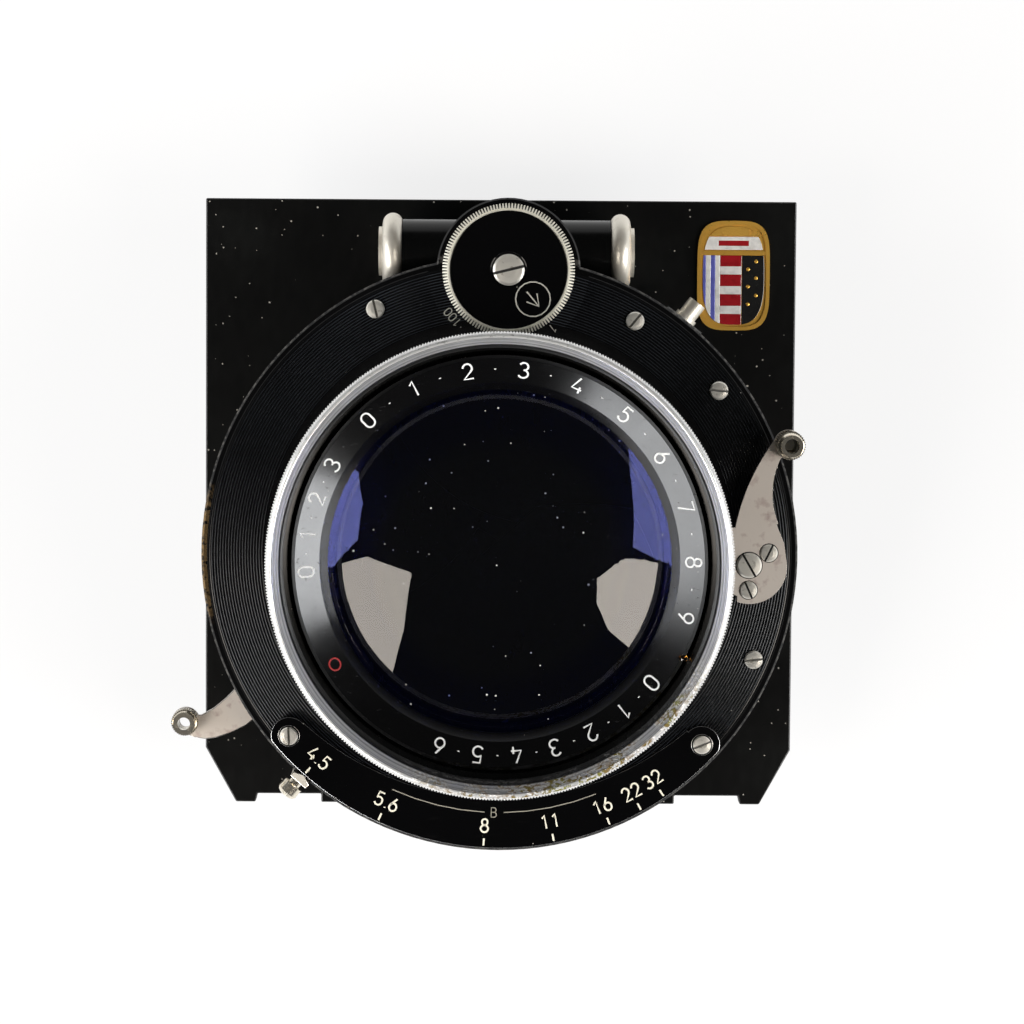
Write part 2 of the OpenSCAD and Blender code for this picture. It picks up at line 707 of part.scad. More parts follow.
module aperture_knob() color(nickel) rotate(pointer_a)
    translate([48.1, 0, seat_z + 17.5]) rotate([0, 90, 0]) rotate_extrude($fn = 48)
        polygon([[0, 0], [1.0, 0], [1.0, 1.5], [1.65, 1.6], [1.7, 3.1], [1.45, 3.5], [0.9, 3.75], [0, 3.85]]);

// ---- iris leaves ----
// One leaf's arc, cut back at both ends so that neighbours pass each other when stopped down
module leaf_outline() {
    axis_point = [leaf_pivot_r, 0] - polar(leaf_pivot_r, -leaf_turn);
    difference() {
        intersection() {
            difference() {
                circle(r = 34.2, $fn = 180);
                circle(r = iris_open_r, $fn = 180);
            }
            sector(-2.5, leaf_span + 2.5);
        }
        polygon([[34, -2.4], [20.5, 4.5], [20, -8], [34, -8]]);
        translate(axis_point) rotate(chord_rest + 180 / leaves) translate([0, -3.4]) square([40, 23]);
    }
    translate([leaf_pivot_r, 0]) circle(r = 2.3, $fn = 32);
    at_polar(leaf_pivot_r, leaf_span) circle(r = 2.3, $fn = 32);
}

// One leaf: its arc tilted along the chord, a pivot pin below and a drive pin above
module iris_leaf(i) color(steel) rotate(360 * i / leaves) translate([leaf_pivot_r, 0, seat_z + leaf_low]) {
    tilt = atan(leaf_slope);
    rotate(chord_rest) {
        rotate([0, -tilt, 0]) linear_extrude(leaf_t) rotate(-chord_rest) translate([-leaf_pivot_r, 0])
            leaf_outline();
        translate([0, 0, floor_top - leaf_low - 1.2])
            cylinder(r = 0.6, h = 1.25 + leaf_low - floor_top, $fn = 24);
        translate([leaf_chord, 0, leaf_chord * leaf_slope]) cylinder(r = leaf_pin_r,
            h = ap_ring_z + ap_ring_t - leaf_low - leaf_chord * leaf_slope - 0.1, $fn = 24);
    }
}

// ---- shutter blades ----
drive_r = 38.5;
drive_pin_r = 0.7;
function drive_pin(t) = polar(drive_r, blade_ring_turn * (0.5 - t));
function ear_point(t) = turned(drive_pin(t) - [blade_pivot_r, 0], blade_turn * t);

// A blade drawn swung open, in the free band round the iris
module open_blade_outline() {
    intersection() {
        difference() {
            circle(r = 42.5, $fn = 180);
            circle(r = 21.7, $fn = 180);
        }
        sector(0, 70);
        translate([blade_pivot_r, 0]) circle(r = 38.2, $fn = 180);
    }
}

module shutter_blade(k) color(steel) rotate(72 * k)
    translate([blade_pivot_r, 0, seat_z + blade_low + blade_step * k]) linear_extrude(blade_t) difference() {
        union() {
            rotate(blade_turn) translate([-blade_pivot_r, 0]) open_blade_outline();
            circle(r = 2.4, $fn = 48);
            translate(ear_point(0.5)) circle(r = 2.1, $fn = 48);
        }
        circle(r = 0.97, $fn = 32);
        for (i = [0 : 8]) translate(ear_point(i / 8)) circle(r = drive_pin_r + 0.08, $fn = 32);
    }

module blade_ring() color(steel) {
    tube(41.4, blade_ring_z, blade_ring_z + blade_ring_t, 36);
    for (k = [0 : blades - 1]) raised(blade_low - 0.1, blade_ring_z + eps)
        rotate(72 * k) translate(drive_pin(0)) circle(r = drive_pin_r, $fn = 32);
}

lens_board();
board_badge();
retaining_ring();
shutter_case();
front_cover();
cover_screws();
scale_plate();
scale_plate_screws();
air_cylinder();
cylinder_cap_left();
cylinder_cap_right();
cable_socket();
socket_flange();
blade_deck();
mechanism_deck();
main_spring();
front_barrel();
front_rim_ring();
name_ring();
front_element();
middle_element();
rear_barrel();
rear_inner_element();
rear_outer_element();
rear_retaining_ring();
speed_dial();
dial_screw();
dial_spindle();
cocking_lever();
cocking_knob();
cocking_pivot_screw();
cocking_lever_screws();
cocking_crank();
winding_ring();
piston();
release_lever();
release_knob();
aperture_ring();
aperture_pointer();
aperture_knob();
iris_leaf(0);  // iris_leaf_01
iris_leaf(1);  // iris_leaf_02
iris_leaf(2);  // iris_leaf_03
iris_leaf(3);  // iris_leaf_04
iris_leaf(4);  // iris_leaf_05
iris_leaf(5);  // iris_leaf_06
iris_leaf(6);  // iris_leaf_07
iris_leaf(7);  // iris_leaf_08
iris_leaf(8);  // iris_leaf_09
iris_leaf(9);  // iris_leaf_10
blade_ring();
shutter_blade(0);  // shutter_blade_1
shutter_blade(1);  // shutter_blade_2
shutter_blade(2);  // shutter_blade_3
shutter_blade(3);  // shutter_blade_4
shutter_blade(4);  // shutter_blade_5
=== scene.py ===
"""Looks of a large-format lens in a dial-set leaf shutter on its lens board.

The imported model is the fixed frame. Each sub-assembly below dresses its own nodes and adds the
marks, knurls and trim that belong to it. Sizes are in metres, in the frame's own axes: Z is the
optical axis and points at the subject, Y points at the top of the board.
"""

import json
import logging
import math
import random
from dataclasses import dataclass, field
from enum import Enum
from typing import Sequence, Union

import bmesh
import bpy
from mathutils import Matrix, Vector


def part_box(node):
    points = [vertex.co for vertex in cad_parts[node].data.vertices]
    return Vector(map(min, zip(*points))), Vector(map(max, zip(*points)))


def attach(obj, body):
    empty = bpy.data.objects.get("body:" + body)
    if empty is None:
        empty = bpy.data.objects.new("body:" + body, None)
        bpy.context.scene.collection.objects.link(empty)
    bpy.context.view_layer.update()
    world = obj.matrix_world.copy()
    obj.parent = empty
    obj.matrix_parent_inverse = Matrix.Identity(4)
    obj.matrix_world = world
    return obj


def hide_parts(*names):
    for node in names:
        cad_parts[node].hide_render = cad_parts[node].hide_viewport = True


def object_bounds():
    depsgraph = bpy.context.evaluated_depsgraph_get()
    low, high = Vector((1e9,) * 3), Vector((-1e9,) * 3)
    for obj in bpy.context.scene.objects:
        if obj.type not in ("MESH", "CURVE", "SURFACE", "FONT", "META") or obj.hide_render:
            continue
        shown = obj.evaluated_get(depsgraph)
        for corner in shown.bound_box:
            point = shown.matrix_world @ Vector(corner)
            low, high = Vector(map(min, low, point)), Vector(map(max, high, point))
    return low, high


MM = 0.001
SHARP = math.radians(24)  # between faces that keep a crisp edge
CREASE = math.radians(35)  # between faces whose edge is rounded
NEARLY_FLAT = math.radians(0.4)
LEVEL = 0.9999  # the upright share of a level face's normal
BEVEL = {
    "offset_type": "OFFSET", "segments": 2, "profile": 0.5, "affect": "EDGES",
    "clamp_overlap": True, "material": -1,
}
LIT_POINT = Vector((0, 0, 0.04))
LOG = logging.getLogger("lens")
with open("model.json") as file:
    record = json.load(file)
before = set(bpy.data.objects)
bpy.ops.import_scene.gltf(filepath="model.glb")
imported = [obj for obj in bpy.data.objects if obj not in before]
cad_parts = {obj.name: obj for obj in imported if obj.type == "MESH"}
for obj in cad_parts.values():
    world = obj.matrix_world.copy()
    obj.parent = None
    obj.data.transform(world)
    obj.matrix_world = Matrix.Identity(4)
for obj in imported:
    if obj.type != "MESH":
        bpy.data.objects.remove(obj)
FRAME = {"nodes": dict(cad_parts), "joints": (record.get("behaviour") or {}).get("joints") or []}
CAD_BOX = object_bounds()

Colour = tuple[float, float, float]
Point = tuple[float, float, float]
Link = Union["Wire", float, int, tuple, None]


def joint_place(name: str) -> Vector:
    """Gives a joint's place at rest.

    Args:
        name: The joint's name in the frame.

    Returns:
        The place in metres.
    """
    return Vector(next(j["pos_m"] for j in FRAME["joints"] if j["name"] == name))


def polar(radius: float, degrees: float, height: float = 0.0) -> Vector:
    """Gives a point round the optical axis.

    Args:
        radius: Distance from the axis.
        degrees: Angle from +X towards +Y.
        height: Height along Z.

    Returns:
        The point.
    """
    turn = math.radians(degrees)
    return Vector((radius * math.cos(turn), radius * math.sin(turn), height))


# ---------------------------------------------------------------- shader maths


class Wire:
    """One output of a shader node. Arithmetic on it adds Math nodes to its graph."""

    def __init__(self, graph: "Graph", socket: bpy.types.NodeSocket) -> None:
        """Keeps the graph and the socket."""
        self.graph = graph
        self.socket = socket

    def _math(self, operation: str, first: Link, second: Link = None) -> "Wire":
        """Adds one Math node.

        Args:
            operation: The node's operation.
            first: Its first value.
            second: Its second value, if it takes one.

        Returns:
            The node's value.
        """
        values = {0: first} if second is None else {0: first, 1: second}
        return self.graph.node("ShaderNodeMath", {"operation": operation}, values)

    def __add__(self, other: Link) -> "Wire":
        """Adds a value."""
        return self._math("ADD", self, other)

    __radd__ = __add__

    def __sub__(self, other: Link) -> "Wire":
        """Takes a value away."""
        return self._math("SUBTRACT", self, other)

    def __rsub__(self, other: Link) -> "Wire":
        """Takes this wire away from a value."""
        return self._math("SUBTRACT", other, self)

    def __mul__(self, other: Link) -> "Wire":
        """Multiplies by a value."""
        return self._math("MULTIPLY", self, other)

    __rmul__ = __mul__

    def __truediv__(self, other: Link) -> "Wire":
        """Divides by a value."""
        return self._math("DIVIDE", self, other)

    def __pow__(self, other: Link) -> "Wire":
        """Raises to a power."""
        return self._math("POWER", self, other)

    def __gt__(self, other: Link) -> "Wire":
        """Is 1 where this wire is the larger."""
        return self._math("GREATER_THAN", self, other)

    def __lt__(self, other: Link) -> "Wire":
        """Is 1 where this wire is the smaller."""
        return self._math("LESS_THAN", self, other)

    def size(self) -> "Wire":
        """Gives the value without its sign."""
        return self._math("ABSOLUTE", self)

    def clamped(self) -> "Wire":
        """Keeps the value between 0 and 1."""
        return self._math("MINIMUM", self._math("MAXIMUM", self, 0.0), 1.0)

    def above(self, level: float, gain: float) -> "Wire":
        """Gives a soft step.

        Args:
            level: Where it starts to rise from 0.
            gain: How steeply it rises.

        Returns:
            A value from 0 to 1.
        """
        return ((self - level) * gain).clamped()

    def between(self, low: float, high: float, soft: float) -> "Wire":
        """Gives a soft-edged band.

        Args:
            low: Where the band begins.
            high: Where the band ends.
            soft: Width of each of its edges.

        Returns:
            A value that is 1 inside the band and 0 outside.
        """
        rise = ((self - low) / soft).clamped()
        fall = ((high - self) / soft).clamped()
        return rise * fall


class Graph:
    """The node tree of one material, or of the world."""

    def __init__(self, owner: Union[bpy.types.Material, bpy.types.World]) -> None:
        """Empties the owner's node tree.

        Args:
            owner: The material or the world.
        """
        owner.use_nodes = True
        self.tree = owner.node_tree
        self.tree.nodes.clear()
        self._place: Union[Wire, None] = None

    def node(
        self,
        kind: str,
        settings: Union[dict, None] = None,
        inputs: Union[dict, None] = None,
        output: Union[int, str] = 0,
    ) -> Wire:
        """Adds one node, sets it up and joins its sockets.

        Args:
            kind: The node's type.
            settings: Its properties.
            inputs: A value or a wire for each named or numbered socket.
            output: The output wanted.

        Returns:
            That output.
        """
        made = self.tree.nodes.new(kind)
        for key, value in (settings or {}).items():
            setattr(made, key, value)
        for key, value in (inputs or {}).items():
            socket = made.inputs[key]
            if isinstance(value, Wire):
                self.tree.links.new(value.socket, socket)
            elif isinstance(value, tuple) and socket.type == "RGBA":
                socket.default_value = (*value, 1.0)[:4]
            else:
                socket.default_value = value
        return Wire(self, made.outputs[output])

    def place(self) -> Wire:
        """Gives the object coordinates, which are the frame's own metres.

        Returns:
            The coordinates, from one node for the whole graph.
        """
        if self._place is None:
            self._place = self.node("ShaderNodeTexCoord", output="Object")
        return self._place

    def axis(self, index: int) -> Wire:
        """Gives one coordinate: 0 is X, 1 is Y, 2 is Z."""
        return self.node("ShaderNodeSeparateXYZ", None, {0: self.place()}, index)

    def radius(self, x: float = 0.0, y: float = 0.0) -> Wire:
        """Gives the distance from an upright axis.

        Args:
            x: The axis's X.
            y: The axis's Y.

        Returns:
            The distance in metres.
        """
        return ((self.axis(0) - x) ** 2.0 + (self.axis(1) - y) ** 2.0) ** 0.5

    def bearing(self) -> Wire:
        """Gives the angle round the optical axis, in degrees from +X, from -180 to 180."""
        sides = {0: self.axis(1), 1: self.axis(0)}
        return self.node("ShaderNodeMath", {"operation": "ARCTAN2"}, sides) * (180.0 / math.pi)

    def noise(self, size: float, detail: float = 2.0, stretch: tuple = (1.0, 1.0, 1.0)) -> Wire:
        """Gives a smooth random pattern.

        Args:
            size: Size of its features in metres.
            detail: How much finer detail it has.
            stretch: Its squeeze along each axis.

        Returns:
            A value about 0.5.
        """
        where: Link = self.place()
        if stretch != (1.0, 1.0, 1.0):
            where = self.node("ShaderNodeMapping", None, {"Vector": where, "Scale": stretch})
        return self.node(
            "ShaderNodeTexNoise", None, {"Vector": where, "Scale": 1.0 / size, "Detail": detail}
        )

    def rings(self, width: float) -> Wire:
        """Gives random rings round the optical axis, as a lathe tool leaves them.

        Args:
            width: Width of a ring in metres.

        Returns:
            A value about 0.5.
        """
        where = self.node("ShaderNodeCombineXYZ", None, {0: self.radius(), 2: self.axis(2)})
        return self.node(
            "ShaderNodeTexNoise", None, {"Vector": where, "Scale": 1.0 / width, "Detail": 3.0}
        )

    def specks(self, pitch: float, dot: float, share: float) -> Wire:
        """Gives scattered dots.

        Args:
            pitch: Distance between the cells that may hold one.
            dot: Usual radius of a dot over the pitch; the largest are half as large again.
            share: Share of the cells that hold one.

        Returns:
            A value that is 1 in a dot.
        """
        cells = {"Vector": self.place(), "Scale": 1.0 / pitch}
        near = self.node("ShaderNodeTexVoronoi", None, cells, "Distance")
        tint = self.node("ShaderNodeTexVoronoi", None, cells, "Color")
        pick = self.node("ShaderNodeSeparateColor", None, {0: tint})
        size = self.node("ShaderNodeSeparateColor", None, {0: tint}, 1)
        return (near < size * dot * 1.5) * (pick > 1.0 - share)

    def mix(self, share: Link, first: Link, second: Link) -> Wire:
        """Mixes two colours.

        Args:
            share: 0 gives the first, 1 the second.
            first: A colour.
            second: A colour.

        Returns:
            The mixed colour.
        """
        return self.node(
            "ShaderNodeMix", {"data_type": "RGBA"}, {0: share, 6: first, 7: second}, 2
        )

    def bump(self, height: Link, strength: float, distance: float) -> Wire:
        """Gives a normal from a height.

        Args:
            height: The height, about 0 to 1.
            strength: How strongly it shows.
            distance: The height of 1 in metres.

        Returns:
            The normal.
        """
        return self.node(
            "ShaderNodeBump", None, {"Height": height, "Strength": strength, "Distance": distance}
        )

    def principled(self, **sockets: Link) -> Wire:
        """Adds a Principled shader.

        Args:
            **sockets: Its sockets, with underscores for blanks.

        Returns:
            The shader.
        """
        inputs = {key.replace("_", " "): value for key, value in sockets.items()}
        return self.node("ShaderNodeBsdfPrincipled", None, inputs)

    def surface(self, **sockets: Link) -> None:
        """Ends the material with one Principled shader of those sockets."""
        self.finish(self.principled(**sockets))

    def finish(self, shader: Wire, output: str = "ShaderNodeOutputMaterial") -> None:
        """Joins a shader to the tree's output."""
        out = self.tree.nodes.new(output)
        self.tree.links.new(shader.socket, out.inputs["Surface"])


# ---------------------------------------------------------------- finishes


class Grain(Enum):
    """The direction of the tool marks in a metal surface."""

    NONE = 0
    TURNED = 1


@dataclass(frozen=True)
class Finish:
    """A surface finish, made into a material once."""

    name: str

    def build(self, graph: Graph) -> None:
        """Builds the finish's nodes.

        Args:
            graph: The material's graph.
        """
        raise NotImplementedError

    def material(self) -> bpy.types.Material:
        """Gives the finish's material, and makes it the first time.

        Returns:
            The material.
        """
        title = f"{self.name}_finish"
        made = bpy.data.materials.get(title)
        if made is None:
            made = bpy.data.materials.new(title)
            self.build(Graph(made))
        return made


@dataclass(frozen=True)
class BlackPaint(Finish):
    """Black stove paint with dust, faint clouds and handling marks."""

    colour: Colour = (0.0022, 0.0023, 0.0023)
    haze: Colour = (0.012, 0.014, 0.013)
    roughness: float = 0.30
    dust: float = 0.03
    pebble: float = 0.04
    gloss: float = 0.28

    def build(self, graph: Graph) -> None:
        """Builds the paint.

        Args:
            graph: The material's graph.
        """
        cloud = graph.noise(14 * MM, 5.0)
        scuff = graph.noise(1.2 * MM, 6.0, (1.0, 0.35, 1.0))
        hazy = cloud.above(0.52, 3.0) * (0.25 + scuff * 0.6)
        dusty = graph.specks(1.1 * MM, 0.10, self.dust)
        colour = graph.mix(hazy * 0.6, self.colour, self.haze)
        colour = graph.mix(dusty * 0.7, colour, (0.55, 0.52, 0.46))
        rough = (scuff * 0.12 + cloud * 0.1 + (self.roughness - 0.11)).clamped()
        normal = graph.bump(graph.noise(0.25 * MM, 3.0), self.pebble, 0.05 * MM)
        graph.surface(
            Base_Color=colour, Roughness=rough, Normal=normal, Specular_IOR_Level=self.gloss
        )


@dataclass(frozen=True)
class TurnedLacquer(Finish):
    """Black lacquer over a turned face, rubbed through at the rim, with a painted highlight on its groove
    walls.
    """

    colour: Colour = (0.0018, 0.0018, 0.0020)
    # wall: colour of the groove walls, a painted highlight of bluish grey
    wall: Colour = (0.042, 0.048, 0.058)
    groove_in: float = 37.3 * MM
    groove_out: float = 45.8 * MM
    pitch: float = 0.44 * MM
    gloss: float = 0.3
    rim: float = 47.1 * MM
    rim_top: float = 0.0

    def build(self, graph: Graph) -> None:
        """Builds the lacquer.

        Args:
            graph: The material's graph.
        """
        radius = graph.radius()
        grooved = radius.between(self.groove_in, self.groove_out, 0.2 * MM)
        place = (radius - self.groove_in) / self.pitch
        cut = graph.node("ShaderNodeMath", {"operation": "FRACT"}, {0: place})
        wall = cut.between(0.10, 0.50, 0.12) * grooved
        cloud = graph.noise(9 * MM, 4.0)
        wear = graph.noise(0.8 * MM, 5.0)
        edge = radius.between(self.rim - 0.30 * MM, self.rim + 1 * MM, 0.10 * MM)
        level = graph.axis(2) > self.rim_top - 0.6 * MM
        worn = (edge * level * wear.above(0.44, 5.0)).clamped()
        left = ((graph.bearing().size() - 166.0) / 8.0).clamped()
        patchy = (wear - 0.44 + left * 0.06) * 7.0
        brassy = (left * (radius > self.rim - 0.9 * MM) * patchy).clamped()
        ramp = ((0.60 - cut) / 0.35).clamped() * grooved
        dusty = graph.specks(0.9 * MM, 0.08, 0.04)
        # painted highlight: the groove walls take the lighter wall colour
        colour = graph.mix(wall * (0.25 + cloud), self.colour, self.wall)
        colour = graph.mix(worn * 0.4, colour, (0.26, 0.25, 0.23))
        colour = graph.mix(brassy * 0.8, colour, (0.34, 0.22, 0.10))
        colour = graph.mix(dusty * 0.6, colour, (0.5, 0.48, 0.44))
        metal = (worn * 0.5 + brassy * 0.8).clamped()
        rough = 0.16 + wall * 0.12 + cloud * 0.08
        graph.surface(
            Base_Color=colour, Roughness=rough, Metallic=metal, Specular_IOR_Level=self.gloss,
            Normal=graph.bump(ramp, 1.0, 0.062 * MM),
        )


@dataclass(frozen=True)
class GlossEnamel(Finish):
    """Smooth black enamel with hairline scratches and dust."""

    colour: Colour = (0.0012, 0.0012, 0.0014)
    roughness: float = 0.08
    dust: float = 0.04
    gloss: float = 0.3

    def build(self, graph: Graph) -> None:
        """Builds the enamel.

        Args:
            graph: The material's graph.
        """
        scratch = graph.noise(0.5 * MM, 4.0, (0.12, 1.0, 1.0))
        cloud = graph.noise(6 * MM, 4.0)
        dusty = graph.specks(0.8 * MM, 0.08, self.dust)
        colour = graph.mix(dusty * 0.55, self.colour, (0.6, 0.57, 0.5))
        rough = self.roughness + cloud * 0.10 + scratch.above(0.62, 4.0) * 0.25
        normal = graph.bump(graph.noise(3 * MM, 2.0), 0.05, 0.05 * MM)
        graph.surface(
            Base_Color=colour, Roughness=rough, Normal=normal, Specular_IOR_Level=self.gloss
        )


@dataclass(frozen=True)
class Metal(Finish):
    """Bare or plated metal with tool marks, stains and dulled patches."""

    metallic: float = 1.0
    colour: Colour = (0.66, 0.63, 0.58)
    stain: Colour = (0.30, 0.22, 0.14)
    stained: float = 0.3
    roughness: float = 0.24
    grain: Grain = Grain.NONE
    grain_size: float = 0.12 * MM
    relief: float = 0.02 * MM

    def tool_marks(self, graph: Graph) -> Wire:
        """Gives the height of the tool marks.

        Args:
            graph: The material's graph.

        Returns:
            A value about 0.5.
        """
        if self.grain is Grain.TURNED:
            return graph.rings(self.grain_size)
        return graph.noise(self.grain_size * 3, 4.0)

    def build(self, graph: Graph) -> None:
        """Builds the metal.

        Args:
            graph: The material's graph.
        """
        marks = self.tool_marks(graph)
        patch = graph.noise(1.6 * MM, 5.0)
        blotch = patch.above(0.56, 5.0) * self.stained
        dull = graph.noise(5 * MM, 3.0)
        colour = graph.mix(blotch, self.colour, self.stain)
        rough = (self.roughness - 0.10 + marks * 0.10 + dull * 0.10 + blotch * 0.3).clamped()
        normal = graph.bump(marks, 0.10, self.relief)
        graph.surface(Base_Color=colour, Metallic=self.metallic, Roughness=rough, Normal=normal)


@dataclass(frozen=True)
class Screw(Finish):
    """A polished nickel screw head, painted near-black below its slot's floor as painted shade."""

    colour: Colour = (0.90, 0.87, 0.79)
    recess_shade: Colour = (0.006, 0.006, 0.005)
    floor: float = 0.0

    def build(self, graph: Graph) -> None:
        """Builds the nickel, and the painted shade below the slot's floor.

        Args:
            graph: The material's graph.
        """
        pits = graph.noise(0.25 * MM, 4.0)
        patch = graph.noise(0.9 * MM, 3.0)
        # painted shade: below the slot's floor the head is near-black, rough and not metallic
        sunk = ((self.floor - graph.axis(2)) / (0.04 * MM)).clamped()
        spot = patch.above(0.60, 8.0) * 0.6
        colour = graph.mix(spot, self.colour, (0.30, 0.26, 0.20))
        colour = graph.mix(sunk, colour, self.recess_shade)
        rough = 0.26 + pits * 0.12 + sunk * 0.4
        graph.surface(
            Base_Color=colour, Metallic=0.8 - sunk * 0.8, Roughness=rough,
            Normal=graph.bump(pits, 0.05, 0.02 * MM),
        )


@dataclass(frozen=True)
class DialRim(Finish):
    """The dial's toothed nickel, painted dark between its teeth as painted shade."""

    colour: Colour = (0.84, 0.81, 0.70)
    recess_shade: Colour = (0.035, 0.032, 0.026)
    inner: float = 9.56 * MM
    slope: float = 0.825
    drop: float = 0.11 * MM

    def build(self, graph: Graph) -> None:
        """Builds the nickel, painted dark as shade where it lies below the teeth's crests.

        Args:
            graph: The material's graph.
        """
        axis = joint_place("dial_turn")
        radius = graph.radius(axis.x, axis.y)
        crest = (radius - self.inner) * -self.slope + (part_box("speed_dial")[1].z - self.drop)
        outside = radius > self.inner
        # painted shade: the nickel below the teeth's crests is painted dark
        sunk = ((crest - graph.axis(2)) / (0.08 * MM)).clamped() * outside
        patch = graph.noise(1.2 * MM, 4.0)
        worn = patch.above(0.52, 5.0) * 0.35
        colour = graph.mix(worn, self.colour, (0.36, 0.33, 0.22))
        colour = graph.mix(sunk * 0.92, colour, self.recess_shade)
        graph.surface(Base_Color=colour, Metallic=0.6 - sunk * 0.6, Roughness=0.32 + sunk * 0.4)


@dataclass(frozen=True)
class RimMetal(Finish):
    """The satin rim: turned marks, grime, corrosion low on one side, and painted shade over the thread
    inside its lip.
    """

    colour: Colour = (0.92, 0.92, 0.91)
    wall: float = 34.75 * MM
    lip: float = 33.7 * MM
    groove: float = 0.42 * MM

    def build(self, graph: Graph) -> None:
        """Builds the rim's metal.

        Args:
            graph: The material's graph.
        """
        radius = graph.radius()
        bearing = graph.bearing()
        marks = graph.rings(self.groove)
        pits = graph.noise(0.55 * MM, 6.0)
        spread = graph.noise(4 * MM, 3.0)
        low_side = bearing.between(-118.0, -22.0, 16.0)
        rusty = low_side * pits.above(0.44, 9.0) * spread.above(0.38, 7.0)
        green = graph.mix(spread.above(0.5, 6.0), (0.17, 0.10, 0.02), (0.20, 0.20, 0.04))
        grime = pits.above(0.6, 7.0) * (radius > self.wall) * 0.6
        streak = marks.above(0.42, 5.0)
        colour = graph.mix(streak * 0.7, self.colour, (0.30, 0.30, 0.31))
        colour = graph.mix(grime, colour, (0.12, 0.11, 0.08))
        colour = graph.mix(rusty, colour, green)
        rough = 0.26 + marks * 0.14 + rusty * 0.4
        # painted shade: inside the lip, over the thread, the metal is near-black and less metallic
        sunk = ((self.lip - radius) / (0.08 * MM)).clamped()
        colour = graph.mix(sunk, colour, (0.012, 0.012, 0.012))
        metal = ((0.72 - rusty * 0.6) - sunk * 0.5).clamped()
        normal = graph.bump(marks + rusty * 1.5, 0.9, 0.12 * MM)
        graph.surface(Base_Color=colour, Metallic=metal, Roughness=rough, Normal=normal)


@dataclass(frozen=True)
class MarkPaint(Finish):
    """Paint rubbed into an engraved mark."""

    colour: Colour = (0.80, 0.76, 0.62)
    fade: Colour = (0.35, 0.32, 0.24)
    worn: float = 0.25

    def build(self, graph: Graph) -> None:
        """Builds the paint.

        Args:
            graph: The material's graph.
        """
        rub = graph.noise(0.35 * MM, 4.0)
        faded = rub.above(0.55, 6.0) * self.worn
        colour = graph.mix(faded, self.colour, self.fade)
        normal = graph.bump(rub, 0.15, 0.02 * MM)
        graph.surface(Base_Color=colour, Roughness=0.5 + rub * 0.2, Normal=normal)


@dataclass(frozen=True)
class CoatedGlass(Finish):
    """Dusty lens glass, nearly clear in the middle and tinted towards the edge; a blue tint is a painted
    reflection of the lens coating.
    """

    # tint: colour at the edge; on the lens glass it is a painted reflection of the coating
    tint: Colour = (0.96, 0.97, 1.0)
    middle: Colour = (0.70, 0.74, 0.92)
    clear_to: float = 16.5 * MM
    tinted_from: float = 20.0 * MM
    dust: float = 0.55
    coat: float = 0.0
    index: float = 1.5

    def build(self, graph: Graph) -> None:
        """Builds the glass.

        Args:
            graph: The material's graph.
        """
        dusty = graph.specks(1.7 * MM, 0.065, self.dust)
        edge = (graph.radius() - self.clear_to) / (self.tinted_from - self.clear_to)
        clear = graph.principled(
            Base_Color=graph.mix(edge.clamped(), self.middle, self.tint), Roughness=0.0,
            Transmission_Weight=1.0, IOR=self.index, Coat_Weight=self.coat,
        )
        mote = graph.principled(Base_Color=(0.6, 0.6, 0.58), Roughness=0.8)
        graph.finish(graph.node("ShaderNodeMixShader", None, {0: dusty, 1: clear, 2: mote}))


@dataclass(frozen=True)
class FiredEnamel(Finish):
    """Hard glossy enamel in a sunk field."""

    colour: Colour = (0.8, 0.78, 0.74)

    def build(self, graph: Graph) -> None:
        """Builds the enamel.

        Args:
            graph: The material's graph.
        """
        depth = graph.noise(1.2 * MM, 3.0)
        shade = tuple(channel * 0.72 for channel in self.colour)
        colour = graph.mix(depth.above(0.45, 3.0), self.colour, shade)
        normal = graph.bump(depth, 0.12, 0.05 * MM)
        rough = 0.10 + depth * 0.08
        graph.surface(Base_Color=colour, Roughness=rough, Normal=normal, Coat_Weight=0.6)


@dataclass(frozen=True)
class Paper(Finish):
    """The pale paper that the object lies on, partly lit from behind where it is seen."""

    colour: Colour = (0.93, 0.93, 0.93)
    glow: float = 0.8

    def build(self, graph: Graph) -> None:
        """Builds the paper.

        Args:
            graph: The material's graph.
        """
        fibre = graph.noise(40 * MM, 3.0)
        shade = tuple(channel * 0.97 for channel in self.colour)
        paper = graph.principled(Base_Color=graph.mix(fibre, shade, self.colour), Roughness=0.9)
        glow = graph.node("ShaderNodeEmission", None, {"Color": (1.0, 1.0, 1.0), "Strength": 1.0})
        seen = graph.node("ShaderNodeLightPath", None, None, "Is Camera Ray")
        mirrored = graph.node("ShaderNodeLightPath", None, None, "Is Glossy Ray")
        through = graph.node("ShaderNodeLightPath", None, None, "Is Transmission Ray")
        share = (seen + mirrored + through).clamped() * self.glow
        graph.finish(graph.node("ShaderNodeMixShader", None, {0: share, 1: paper, 2: glow}))


@dataclass(frozen=True)
class Glow(Finish):
    """An evenly glowing cloth."""

    colour: Colour = (1.0, 1.0, 1.0)
    strength: float = 1.0

    def build(self, graph: Graph) -> None:
        """Builds the glow.

        Args:
            graph: The material's graph.
        """
        cloth = {"Color": self.colour, "Strength": self.strength}
        graph.finish(graph.node("ShaderNodeEmission", None, cloth))


